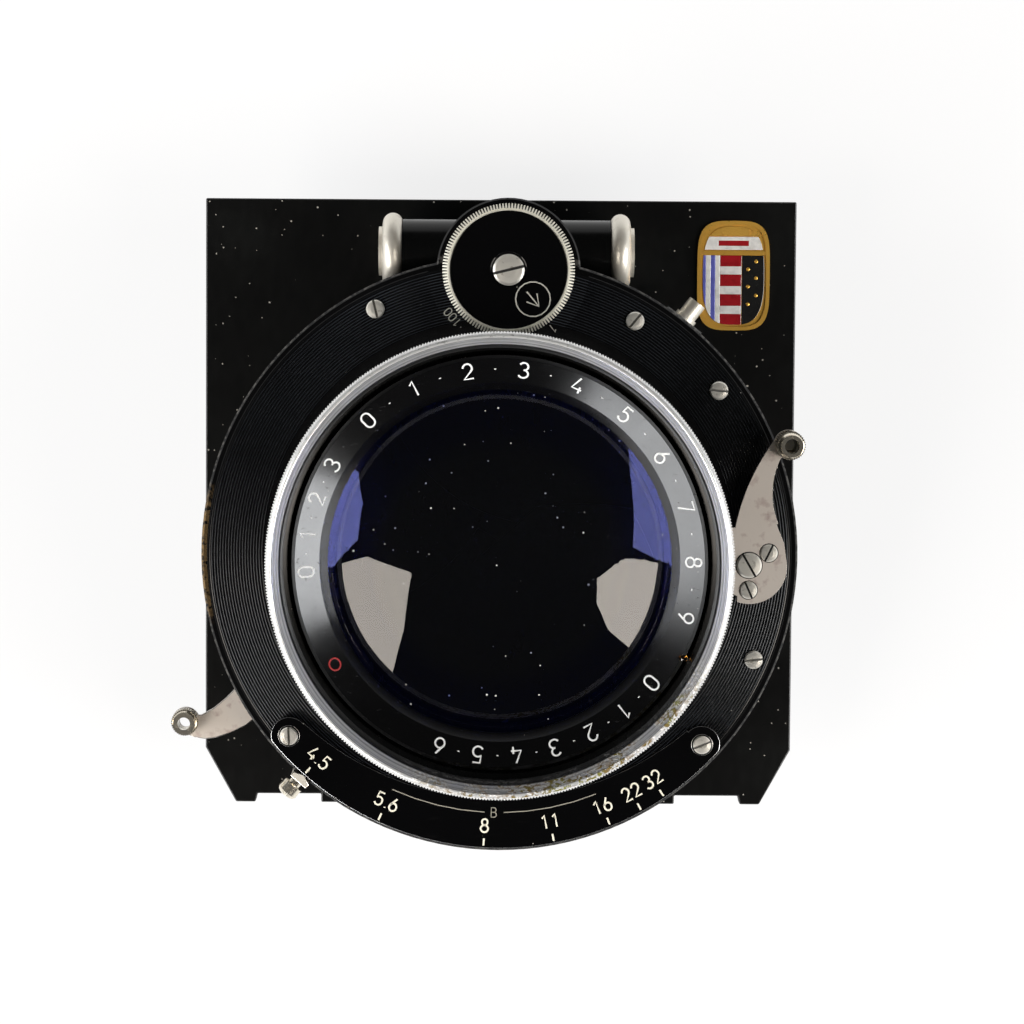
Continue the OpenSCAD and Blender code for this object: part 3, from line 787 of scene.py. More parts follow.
class Finishes:
    """Every finish on the object, under a plain name."""

    board = BlackPaint("board_stove_paint", roughness=0.33, dust=0.4, pebble=0.05, gloss=0.2)
    # the board's rounded edges are painted lighter than its face: a painted edge highlight
    board_edge = BlackPaint(
        "board_edge_highlight", colour=(0.02, 0.02, 0.02), haze=(0.16, 0.15, 0.14), dust=0.1
    )
    case = BlackPaint("case_enamel", roughness=0.22, dust=0.03, pebble=0.03)
    cover = TurnedLacquer("cover_lacquer", rim_top=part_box("scale_plate")[0].z)
    scale = GlossEnamel("scale_enamel")
    # lighter metal on the scale plate's rounded edges: a painted edge highlight
    scale_edge_highlight = Metal("scale_edge_highlight", colour=(0.50, 0.50, 0.50), roughness=0.3, stained=0.6)
    dial = GlossEnamel("dial_gloss", roughness=0.05, dust=0.03)
    name_ring = GlossEnamel("name_ring_satin", roughness=0.14, dust=0.03, gloss=0.5)
    barrel = BlackPaint("barrel_lacquer", roughness=0.26, dust=0.02, pebble=0.03)
    nickel = Metal(
        "nickel_plate", colour=(0.80, 0.76, 0.67), stained=0.3, roughness=0.42, metallic=0.7
    )
    screws = Screw("cover_screw_nickel", floor=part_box("cover_screws")[1].z - 0.34 * MM)
    plate_screws = Screw("plate_screw_nickel", floor=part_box("scale_plate_screws")[1].z - 0.34 * MM)
    dial_screw = Screw("dial_screw_nickel", floor=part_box("dial_screw")[1].z - 0.41 * MM)
    pivot_screw = Screw("pivot_screw_nickel", floor=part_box("cocking_pivot_screw")[1].z - 0.36 * MM)
    lever_screws = Screw("lever_screw_nickel", floor=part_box("cocking_lever_screws")[1].z - 0.26 * MM)
    lever = Metal(
        "lever_nickel", colour=(0.60, 0.54, 0.48), metallic=0.3, stain=(0.24, 0.13, 0.12), stained=0.6,
        roughness=0.46, grain_size=0.3 * MM,
    )
    knurl = DialRim("knurl_nickel")
    knob = Metal(
        "knob_nickel", colour=(0.82, 0.76, 0.64), stain=(0.16, 0.13, 0.06), stained=0.6,
        roughness=0.2, metallic=0.95,
    )
    rim_knurl = Metal(
        "rim_knurl", colour=(0.80, 0.80, 0.79), stain=(0.10, 0.09, 0.07), stained=0.5, metallic=0.6
    )
    # near-black rings in the gaps round the lever's screw heads: painted shade
    gap_shade = BlackPaint("painted_gap_shade", dust=0.0)
    # brighter, glossier nickel on the rounded edges of the levers and the pointer: a painted edge
    # highlight
    lever_edge_highlight = Metal("lever_edge_highlight", colour=(0.80, 0.76, 0.70), stained=0.1, roughness=0.2)
    rim = RimMetal("rim_aluminium")
    flange = Metal("flange_steel", colour=(0.30, 0.31, 0.32), stained=0.3, roughness=0.4)
    aluminium = Metal("deck_aluminium", colour=(0.60, 0.60, 0.60), stained=0.1, grain=Grain.TURNED)
    brass = Metal("deck_brass", colour=(0.62, 0.46, 0.22), stained=0.3, grain=Grain.TURNED)
    spring = Metal("spring_steel", colour=(0.40, 0.41, 0.44), stained=0.15, grain=Grain.TURNED)
    blades = BlackPaint(
        "blued_leaf", colour=(0.0008, 0.0008, 0.0010), haze=(0.002, 0.002, 0.003), dust=0.0, gloss=0.1
    )
    # painted reflection: the lens glass is tinted blue towards its edge in place of the coating's
    # reflections
    glass = CoatedGlass("lens_glass", tint=(0.27, 0.33, 1.0))
    inner_glass = CoatedGlass("inner_glass", middle=(0.98, 0.98, 1.0), dust=0.0, index=1.04)
    cream = MarkPaint("cream_marks")
    white = MarkPaint("white_marks", colour=(0.86, 0.87, 0.86), worn=0.1)
    faded = MarkPaint("faded_marks", colour=(0.42, 0.41, 0.36), fade=(0.2, 0.19, 0.15), worn=0.4)
    dim = MarkPaint("rubbed_marks", colour=(0.30, 0.28, 0.23), worn=0.6)
    red = MarkPaint("red_mark", colour=(0.42, 0.02, 0.02), fade=(0.2, 0.02, 0.02))
    gilt = Metal(
        "badge_gilt", colour=(0.98, 0.56, 0.10), stain=(0.50, 0.14, 0.02), roughness=0.3, metallic=0.7
    )
    grained_gilt = Metal(
        "grained_gilt", colour=(0.98, 0.56, 0.10), stain=(0.50, 0.14, 0.02), stained=0.8,
        roughness=0.3, metallic=0.7, relief=1.2 * MM,
    )
    enamel_white = FiredEnamel("enamel_white", colour=(0.82, 0.81, 0.78))
    enamel_red = FiredEnamel("enamel_red", colour=(0.34, 0.01, 0.015))
    enamel_blue = FiredEnamel("enamel_blue", colour=(0.12, 0.13, 0.48))
    enamel_black = FiredEnamel("enamel_black", colour=(0.012, 0.012, 0.012))
    amber = CoatedGlass("amber_chip", tint=(0.9, 0.35, 0.05), dust=0.0, coat=0.2)


# ---------------------------------------------------------------- meshes


def placed(name: str, data: bpy.types.ID) -> bpy.types.Object:
    """Makes an object of some data and puts it in the scene.

    Args:
        name: The object's name.
        data: Its mesh, light or camera.

    Returns:
        The object.
    """
    made = bpy.data.objects.new(name, data)
    bpy.context.scene.collection.objects.link(made)
    return made


def meshed(maker: bmesh.types.BMesh, name: str) -> bpy.types.Mesh:
    """Ends a bmesh as a mesh, and frees it.

    Args:
        maker: The shape.
        name: The mesh's name.

    Returns:
        The mesh.
    """
    mesh = bpy.data.meshes.new(name)
    maker.to_mesh(mesh)
    maker.free()
    return mesh


def piece(
    maker: bmesh.types.BMesh, name: str, body: str, slot: str, *finishes: Finish
) -> bpy.types.Object:
    """Ends a bmesh as a finished piece that rides on a body.

    Args:
        maker: The shape, in the frame's place.
        name: The piece's name.
        body: The body it rides on.
        slot: The material slot; not used.
        *finishes: Its finishes, in order of material index.

    Returns:
        The piece's object.
    """
    mesh = meshed(maker, name)
    mesh.shade_smooth()
    mesh.set_sharp_from_angle(angle=SHARP)
    for face in mesh.polygons:
        face.use_smooth = abs(face.normal.z) < LEVEL
    made = placed(name, mesh)
    for finish in finishes:
        mesh.materials.append(finish.material())
    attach(made, body)
    LOG.info("%s: %d faces on %s", name, len(mesh.polygons), body)
    return made


def dress(finish: Finish, *nodes: str) -> None:
    """Gives CAD nodes a finish.

    Args:
        finish: The finish.
        *nodes: The nodes' names.
    """
    for node in nodes:
        mesh = FRAME["nodes"][node].data
        mesh.materials.clear()
        mesh.materials.append(finish.material())


def softened(
    node: str, width: float, finish: Finish, edge: Finish, body: str, slot: str
) -> bpy.types.Object:
    """Stands for a CAD node with a merged copy of it whose sharp edges are rounded.

    Args:
        node: The node.
        width: Width of the rounding.
        finish: Finish of the faces.
        edge: Finish of the roundings, a painted edge highlight.
        body: The body it rides on.
        slot: The material slot.

    Returns:
        The piece.
    """
    maker = bmesh.new()
    maker.from_mesh(FRAME["nodes"][node].data)
    bmesh.ops.remove_doubles(maker, verts=maker.verts, dist=0.002 * MM)
    bmesh.ops.dissolve_limit(
        maker, angle_limit=NEARLY_FLAT, verts=maker.verts, edges=maker.edges
    )
    sharp = [
        e for e in maker.edges
        if len(e.link_faces) == 2 and e.calc_face_angle() > CREASE
    ]
    rounded = bmesh.ops.bevel(maker, geom=sharp, offset=width, **BEVEL)
    for face in maker.faces:
        face.material_index = 0
    # the roundings take the edge finish: a painted edge highlight
    for face in rounded["faces"]:
        face.material_index = 1
    made = piece(maker, node + "_dressed", body, slot, finish, edge)
    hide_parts(node)
    return made


def turned(
    profile: Sequence[tuple[float, float]], centre: Vector, steps: int = 96, closed: bool = True
) -> bmesh.types.BMesh:
    """Turns a profile on an upright axis.

    Args:
        profile: Radius and height of each point, round the section.
        centre: The axis, and the height that the profile's heights start from.
        steps: Steps of the full turn.
        closed: Whether the last point joins the first.

    Returns:
        The turned shape.
    """
    maker = bmesh.new()
    verts = [maker.verts.new((r, 0, z)) for r, z in profile]
    pairs = list(zip(verts, verts[1:])) + ([(verts[-1], verts[0])] if closed else [])
    edges = [maker.edges.new(pair) for pair in pairs]
    bmesh.ops.spin(
        maker, geom=verts + edges, cent=(0, 0, 0), axis=(0, 0, 1), angle=2 * math.pi,
        steps=steps, use_merge=True,
    )
    bmesh.ops.remove_doubles(maker, verts=maker.verts, dist=0.0005 * MM)
    bmesh.ops.recalc_face_normals(maker, faces=maker.faces)
    bmesh.ops.translate(maker, verts=maker.verts, vec=centre)
    return maker


def merged(*makers: bmesh.types.BMesh) -> bmesh.types.BMesh:
    """Joins shapes into one bmesh, and frees them.

    Args:
        *makers: The shapes.

    Returns:
        One bmesh that holds them all.
    """
    whole = bmesh.new()
    for maker in makers:
        mesh = meshed(maker, "merged")
        whole.from_mesh(mesh)
        bpy.data.meshes.remove(mesh)
    return whole


# ---------------------------------------------------------------- engraved figures


def arc(x: float, y: float, rx: float, ry: float, start: float, end: float) -> list:
    """Gives the points of an elliptic arc.

    Args:
        x: Centre across.
        y: Centre up.
        rx: Radius across.
        ry: Radius up.
        start: First angle in degrees.
        end: Last angle in degrees.

    Returns:
        The points.
    """
    steps = max(4, round(abs(end - start) / 20))
    turns = [math.radians(start + (end - start) * k / steps) for k in range(steps + 1)]
    return [(x + rx * math.cos(t), y + ry * math.sin(t)) for t in turns]


FIGURES: dict[str, list] = {
    "0": [arc(0.31, 0.69, 0.31, 0.31, 0, 180) + arc(0.31, 0.31, 0.31, 0.31, 180, 360) + [(0.62, 0.69)]],
    "1": [[(0.12, 0.80), (0.36, 1.0), (0.36, 0.0)]],
    "2": [arc(0.31, 0.70, 0.29, 0.30, 170, -38) + [(0.02, 0.0), (0.62, 0.0)]],
    "3": [arc(0.30, 0.75, 0.27, 0.25, 155, -90), arc(0.30, 0.26, 0.31, 0.26, 90, -155)],
    "4": [[(0.50, 0.0), (0.50, 0.42)], [(0.36, 1.0), (0.0, 0.24), (0.64, 0.24)]],
    "5": [[(0.56, 1.0), (0.10, 1.0), (0.06, 0.56)] + arc(0.28, 0.32, 0.32, 0.32, 130, -150)],
    "6": [arc(0.31, 0.30, 0.30, 0.30, 0, 360), [(0.05, 0.42), (0.40, 1.0)]],
    "7": [[(0.02, 1.0), (0.60, 1.0), (0.22, 0.0)]],
    "8": [arc(0.31, 0.76, 0.24, 0.24, 0, 360), arc(0.31, 0.27, 0.31, 0.27, 0, 360)],
    "9": [arc(0.31, 0.70, 0.30, 0.30, 0, 360), [(0.57, 0.58), (0.22, 0.0)]],
    ".": [[(0.08, 0.0), (0.08, 0.07)]],
    "-": [[(0.28, 0.47), (0.28, 0.53)]],
    "B": [
        [(0.34, 0.52), (0.0, 0.52), (0.0, 1.0), (0.34, 1.0)] + arc(0.34, 0.76, 0.22, 0.24, 90, -90),
        [(0.0, 0.52), (0.0, 0.0), (0.34, 0.0)] + arc(0.34, 0.26, 0.26, 0.26, -90, 90),
    ],
}


class Engraver:
    """Lays low painted strokes, as a round cutter leaves them, into one piece."""

    wide = 0.56
    pitch = 0.80

    def __init__(self, name: str, stroke: float, relief: float = 0.035 * MM) -> None:
        """Starts an empty piece.

        Args:
            name: The piece's name.
            stroke: Width of its strokes.
            relief: Thickness of their paint.
        """
        self.name = name
        self.stroke = stroke
        self.relief = relief
        self.maker = bmesh.new()

    def stamp(self, paths: Sequence[Sequence[tuple]], matrix: Matrix) -> None:
        """Lays strokes on the XY plane of a matrix.

        Args:
            paths: The points of each stroke.
            matrix: The plane's place.
        """
        curve = bpy.data.curves.new(self.name, "CURVE")
        curve.dimensions = "3D"
        curve.twist_mode = "Z_UP"
        curve.bevel_depth = self.stroke / 2
        curve.bevel_resolution = 1
        curve.use_fill_caps = True
        for path in paths:
            spline = curve.splines.new("POLY")
            spline.points.add(len(path) - 1)
            for point, (x, y) in zip(spline.points, path):
                point.co = (x, y, 0, 1)
        holder = bpy.data.objects.new(self.name, curve)
        mesh = bpy.data.meshes.new_from_object(holder)
        mesh.transform(matrix @ Matrix.Diagonal((1, 1, 2 * self.relief / self.stroke, 1)))
        self.maker.from_mesh(mesh)
        bpy.data.objects.remove(holder)
        bpy.data.curves.remove(curve)
        bpy.data.meshes.remove(mesh)

    def write(self, words: str, height: float, matrix: Matrix) -> None:
        """Writes figures in a row.

        Args:
            words: The figures.
            height: Their height.
            matrix: Place of the middle of the row; its Y is the figures' up.
        """
        widths = [0.36 if w == "." else self.pitch for w in words]
        at = -(sum(widths) - self.pitch + self.wide) / 2
        for figure, width in zip(words, widths):
            squeeze = self.wide / 0.62 if figure != "." else 1.0
            paths = [
                [((at + x * squeeze) * height, (y - 0.5) * height) for x, y in path]
                for path in FIGURES[figure]
            ]
            self.stamp(paths, matrix)
            at += width

    def finish(self, body: str, slot: str, finish: Finish) -> bpy.types.Object:
        """Ends the strokes as one piece.

        Args:
            body: The body it rides on.
            slot: The material slot.
            finish: The paint.

        Returns:
            The piece.
        """
        bmesh.ops.recalc_face_normals(self.maker, faces=self.maker.faces)
        return piece(self.maker, self.name, body, slot, finish)


def upright_at(point: Vector, up_degrees: float) -> Matrix:
    """Gives a flat matrix at a point with its Y along a bearing.

    Args:
        point: The place.
        up_degrees: Bearing of its Y.

    Returns:
        The matrix.
    """
    return Matrix.Translation(point) @ Matrix.Rotation(math.radians(up_degrees - 90), 4, "Z")


# ---------------------------------------------------------------- sub-assemblies


@dataclass
class LensBoard:
    """The board with its jam ring and its enamelled plaque."""

    edge: float = 0.22 * MM
    squareness: int = 3
    field_inset: float = 0.9 * MM
    field_relief: float = 0.17 * MM
    field_edge: float = 0.06 * MM
    field_sunk: float = 0.27 * MM
    bar_relief: float = 0.03 * MM
    stud_r: float = 0.30 * MM
    stud_height: float = 0.14 * MM

    def build(self) -> None:
        """Dresses the board and fills the plaque."""
        face, edge = Finishes.board, Finishes.board_edge
        softened("lens_board", self.edge, face, edge, "body", "board_paint")
        dress(Finishes.flange, "retaining_ring")
        dress(Finishes.gilt, "board_badge")
        self.fill_plaque()

    def cell(self, low: Vector, high: Vector) -> bmesh.types.BMesh:
        """Makes one enamel cell of the plaque, cut to its rim's outline.

        Args:
            low: Its lower left corner from the plaque's centre, over the half sizes.
            high: Its upper right corner.

        Returns:
            The cell.
        """
        below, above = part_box("board_badge")
        centre = (below + above) / 2
        half = (above - below) / 2
        reach = Vector((half.x - self.field_inset, half.y - self.field_inset, 0))
        maker = bmesh.new()
        bmesh.ops.create_circle(maker, cap_ends=True, segments=64, radius=1.0)
        for vert in maker.verts:
            spread = abs(vert.co.x) ** self.squareness + abs(vert.co.y) ** self.squareness
            swell = spread ** (-1 / self.squareness)
            vert.co = Vector((vert.co.x * swell * reach.x, vert.co.y * swell * reach.y, 0))
        cuts = (
            (Vector((low.x * half.x, 0, 0)), Vector((-1, 0, 0))),
            (Vector((high.x * half.x, 0, 0)), Vector((1, 0, 0))),
            (Vector((0, low.y * half.y, 0)), Vector((0, -1, 0))),
            (Vector((0, high.y * half.y, 0)), Vector((0, 1, 0))),
        )
        for place, normal in cuts:
            bmesh.ops.bisect_plane(
                maker, geom=maker.verts[:] + maker.edges[:] + maker.faces[:], plane_co=place,
                plane_no=normal, clear_outer=True,
            )
        raised = bmesh.ops.extrude_face_region(maker, geom=maker.faces[:])
        lifted = [v for v in raised["geom"] if isinstance(v, bmesh.types.BMVert)]
        bmesh.ops.translate(maker, verts=lifted, vec=(0, 0, self.field_relief))
        top = {e for v in lifted for e in v.link_edges if all(w in lifted for w in e.verts)}
        bmesh.ops.bevel(maker, geom=list(top), offset=self.field_edge, **BEVEL)
        bmesh.ops.recalc_face_normals(maker, faces=maker.faces)
        floor = above.z - self.field_sunk
        bmesh.ops.translate(maker, verts=maker.verts, vec=(centre.x, centre.y, floor))
        return maker

    def fill_plaque(self) -> None:
        """Fills the plaque: a grained crest and a band above, stripes, bars and studs below."""
        blue, white = Finishes.enamel_blue, Finishes.enamel_white
        red, black = Finishes.enamel_red, Finishes.enamel_black
        foot, brow = 0.37, 0.47
        plan: list[tuple[str, Finish, float, float, float, float]] = [
            ("crest", Finishes.grained_gilt, -1, 1, 0.72, 1),
            ("band", white, -1, 1, brow, 0.71),
            ("band_bar", red, -0.42, 0.42, 0.54, 0.64),
            ("stripe_1", blue, -1, -0.76, -1, foot),
            ("stripe_2", white, -0.76, -0.63, -1, foot),
            ("stripe_3", blue, -0.63, -0.50, -1, foot),
            ("stripe_4", white, -0.50, -0.37, -1, foot),
            ("red_field", red, -0.37, 0.22, -1, foot),
            ("black_field", black, 0.24, 1, -1, foot),
        ]
        plan += [
            (f"bar_{k + 1}", white, -0.37, 0.22, -0.70 + 0.36 * k, -0.55 + 0.36 * k)
            for k in range(3)
        ]
        for name, finish, left, right, low, high in plan:
            maker = self.cell(Vector((left, low, 0)), Vector((right, high, 0)))
            if "bar" in name:
                bmesh.ops.translate(maker, verts=maker.verts, vec=(0, 0, self.bar_relief))
            piece(maker, "badge_" + name, "body", "badge_enamel", finish)
        self.add_studs()

    def add_studs(self) -> None:
        """Sets gilt studs in the black field."""
        low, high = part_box("board_badge")
        foot = high.z - self.stud_height
        centre = (low + high) / 2
        half = (high - low) / 2
        profile = [
            (0.0, 0.0), (self.stud_r, 0.0), (self.stud_r, 0.05 * MM), (0.16 * MM, 0.13 * MM),
            (0.0, self.stud_height),
        ]
        spots = (
            (0.40, -0.52), (0.62, -0.36), (0.40, -0.20), (0.62, -0.04), (0.40, 0.12), (0.62, 0.26)
        )
        studs = []
        for across, up in spots:
            place = Vector((centre.x + across * half.x, centre.y + up * half.y, foot))
            studs.append(turned(profile, place, 24, closed=False))
        piece(merged(*studs), "badge_studs", "body", "badge_enamel", Finishes.gilt)


@dataclass
class ShutterCase:
    """The case with its grooved cover, air brake and cable socket."""

    def build(self) -> None:
        """Dresses the case's fixed nodes."""
        dress(Finishes.case, "shutter_case", "air_cylinder")
        dress(Finishes.cover, "front_cover")
        dress(Finishes.screws, "cover_screws")
        dress(Finishes.plate_screws, "scale_plate_screws")
        dress(Finishes.nickel, "cylinder_cap_left", "cylinder_cap_right", "cable_socket")
        dress(Finishes.flange, "socket_flange")
        dress(Finishes.aluminium, "blade_deck")
        dress(Finishes.brass, "mechanism_deck", "piston")
        dress(Finishes.spring, "main_spring", "winding_ring", "blade_ring")


@dataclass
class ApertureScale:
    """The curved scale plate with its marks, the pointer and the knob that moves it."""

    tick_in: float = 45.0 * MM
    tick_out: float = 46.15 * MM
    figure_r: float = 42.95 * MM
    figure_height: float = 2.1 * MM
    line_r: float = 40.8 * MM
    line_spans: tuple = ((-114.2, -93.0), (-88.7, -67.7))
    letter_at: float = -90.9
    letter_height: float = 1.5 * MM
    edge: float = 0.14 * MM
    pointer_edge: float = 0.08 * MM
    stops: dict = field(default_factory=lambda: {
        "4.5": -131.3, "5.6": -114.2, "8": -92.8, "11": -78.9, "16": -67.4, "22": -60.6, "32": -55.4,
    })

    def build(self) -> None:
        """Dresses the plate and marks it."""
        face, edge = Finishes.scale, Finishes.scale_edge_highlight
        softened("scale_plate", self.edge, face, edge, "body", "scale_enamel")
        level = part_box("scale_plate")[1].z
        marks = Engraver("scale_marks", stroke=0.29 * MM)
        for words, bearing in self.stops.items():
            inner, outer = polar(self.tick_in, bearing), polar(self.tick_out, bearing)
            marks.stamp([[inner.xy, outer.xy]], Matrix.Translation((0, 0, level)))
            place = polar(self.figure_r, bearing, level)
            marks.write(words, self.figure_height, upright_at(place, bearing + 180))
        marks.finish("body", "scale_enamel", Finishes.cream)
        line = Engraver("scale_line", stroke=0.15 * MM)
        for start, end in self.line_spans:
            path = arc(0, 0, self.line_r, self.line_r, start, end)
            line.stamp([path], Matrix.Translation((0, 0, level)))
        middle = polar(self.line_r, self.letter_at, level)
        line.write("B", self.letter_height, upright_at(middle, self.letter_at + 180))
        line.finish("body", "scale_enamel", Finishes.dim)
        face, edge = Finishes.nickel, Finishes.lever_edge_highlight
        softened("aperture_pointer", self.pointer_edge, face, edge, "aperture", "nickel_plate")
        dress(Finishes.knob, "aperture_knob")
        dress(Finishes.aluminium, "aperture_ring")


@dataclass
class SpeedDial:
    """The speed dial: a gloss disc in a toothed nickel rim, with its marks."""

    teeth: int = 132
    tooth_share: float = 0.6
    bore_r: float = 1.52 * MM
    recess_r: float = 2.72 * MM
    recess: float = 0.45 * MM
    seat_r: float = 9.18 * MM
    disc_drop: float = 0.4 * MM
    root_r: float = 9.5 * MM
    band_r: float = 9.95 * MM
    rim_r: float = 10.3 * MM
    ring_r: float = 2.7 * MM
    ring_at: float = 5.9 * MM
    ring_bearing: float = -50.0
    figure_at: float = 11.45 * MM
    figure_height: float = 1.35 * MM
    figures: tuple = (("1", -52.5), ("100", -139.5))

    def build(self) -> None:
        """Makes the disc and the rim, and dresses the rest."""
        low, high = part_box("speed_dial")
        axis = joint_place("dial_turn")
        centre = Vector((axis.x, axis.y, 0))
        top = high.z
        disc_top = top - self.disc_drop
        disc = turned(
            [
                (self.bore_r, low.z), (self.seat_r, low.z), (self.seat_r, disc_top - 0.05 * MM),
                (9.05 * MM, disc_top), (2.85 * MM, disc_top), (self.recess_r, disc_top - 0.06 * MM),
                (self.recess_r, disc_top - self.recess), (self.bore_r, disc_top - self.recess),
            ],
            centre, 96,
        )
        rim = turned(
            [
                (self.seat_r, low.z + 0.25 * MM), (self.band_r, low.z + 0.25 * MM),
                (self.band_r, top - 0.78 * MM), (9.58 * MM, top - 0.30 * MM),
                (9.45 * MM, top - 0.1 * MM), (9.36 * MM, top), (9.24 * MM, top),
                (self.seat_r, top - 0.08 * MM),
            ],
            centre, 96,
        )
        self.add_teeth(rim, centre, low.z + 0.3 * MM, top)
        pieces = (
            piece(disc, "dial_disc", "dial", "dial_black", Finishes.dial),
            piece(rim, "dial_rim", "dial", "dial_black", Finishes.knurl),
        )
        for made in pieces:
            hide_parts("speed_dial")
        dress(Finishes.dial_screw, "dial_screw")
        dress(Finishes.brass, "dial_spindle")
        self.mark(centre, disc_top)

    def add_teeth(self, maker: bmesh.types.BMesh, centre: Vector, low: float, top: float) -> None:
        """Adds the rim's teeth, sloped inwards at the top.

        Args:
            maker: The rim.
            centre: The dial's axis.
            low: Foot of the teeth.
            top: The rim's top.
        """
        width = self.tooth_share * 2 * math.pi * self.rim_r / self.teeth
        for k in range(self.teeth):
            turn = Matrix.Rotation(2 * math.pi * k / self.teeth, 4, "Z")
            foot = Matrix.Translation(((self.rim_r + self.root_r) / 2, 0, (low + top) / 2))
            size = Matrix.Diagonal((self.rim_r - self.root_r, width, top - low, 1))
            made = bmesh.ops.create_cube(maker, size=1.0, matrix=foot @ size)
            for vert in made["verts"]:
                if vert.co.x > self.band_r:
                    vert.co.y *= 0.75
                    vert.co.z = min(vert.co.z, top - 0.72 * MM)
                else:
                    vert.co.z = min(vert.co.z, top - 0.06 * MM)
            place = Matrix.Translation(centre) @ turn
            bmesh.ops.transform(maker, matrix=place, verts=made["verts"])

    def mark(self, centre: Vector, disc_top: float) -> None:
        """Marks the disc with a plain pointer in a ring, and the cover with two figures.

        Args:
            centre: The dial's axis.
            disc_top: Height of the disc.
        """
        spot = centre + polar(self.ring_at, self.ring_bearing, disc_top)
        sign = Engraver("dial_index", stroke=0.2 * MM, relief=0.03 * MM)
        ring = arc(0, 0, self.ring_r, self.ring_r, 0, 360)
        size = self.ring_r * 0.55
        arrow = [(-size * 0.7, -size * 0.2), (0, size), (size * 0.7, -size * 0.2)]
        shaft = [(0, size), (0, -size)]
        sign.stamp([ring, arrow, shaft], upright_at(spot, self.ring_bearing))
        sign.finish("dial", "dial_black", Finishes.faded)
        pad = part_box("front_cover")[1].z
        ends = Engraver("dial_figures", stroke=0.17 * MM)
        for words, bearing in self.figures:
            place = centre + polar(self.figure_at, bearing, pad)
            ends.write(words, self.figure_height, upright_at(place, bearing))
        ends.finish("body", "cover_lacquer", Finishes.faded)


@dataclass
class Levers:
    """The cocking and release levers with their knobs and screws."""

    edge: float = 0.12 * MM
    stem_r: float = 1.05 * MM
    head_r: float = 1.35 * MM
    gap_shade_sunk: float = 0.2 * MM
    gap_shade_thick: float = 0.1 * MM

    def build(self) -> None:
        """Dresses the levers."""
        face, edge = Finishes.lever, Finishes.lever_edge_highlight
        for body in ("cocking", "release"):
            softened(body + "_lever", self.edge, face, edge, body, "lever_nickel")
        dress(Finishes.knob, "cocking_knob", "release_knob")
        self.add_rivet()
        dress(Finishes.pivot_screw, "cocking_pivot_screw")
        dress(Finishes.lever_screws, "cocking_lever_screws")
        dress(Finishes.flange, "cocking_crank")
        self.add_gap_shade()

    def add_gap_shade(self) -> None:
        """Fills the gaps round the cocking lever's screw heads with near-black rings of painted shade."""
        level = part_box("cocking_lever")[1].z - self.gap_shade_sunk
        pivot = joint_place("cocking_swing")
        low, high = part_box("cocking_pivot_screw")
        spots = [(Vector((pivot.x, pivot.y, level)), (high.x - low.x) / 2, 0.15 * MM)]
        low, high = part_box("cocking_lever_screws")
        upper = Vector((high.x - self.head_r, high.y - self.head_r, level))
        lower = Vector((low.x + self.head_r, low.y + self.head_r, level))
        spots += [(upper, self.head_r, 0.17 * MM), (lower, self.head_r, 0.17 * MM)]
        rings = []
        for centre, reach, gap in spots:
            inner, outer, thick = reach - 0.02 * MM, reach + gap, self.gap_shade_thick
            section = [(inner, 0.0), (outer, 0.0), (outer, thick), (inner, thick)]
            rings.append(turned(section, centre, 48))
        piece(merged(*rings), "lever_screw_shade_rings", "cocking", "lever_nickel", Finishes.gap_shade)

    def add_rivet(self) -> None:
        """Closes the foot of the cocking knob's bore with its riveted stem."""
        low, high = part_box("cocking_knob")
        centre = Vector(((low.x + high.x) / 2, (low.y + high.y) / 2, low.z))
        section = [
            (0.0, -0.85 * MM), (self.stem_r, -0.85 * MM), (self.stem_r, 0.3 * MM),
            (0.9 * MM, 0.4 * MM), (0.0, 0.45 * MM),
        ]
        stem = turned(section, centre, 32, closed=False)
        piece(stem, "cocking_knob_stem", "cocking", "nickel_plate", Finishes.flange)


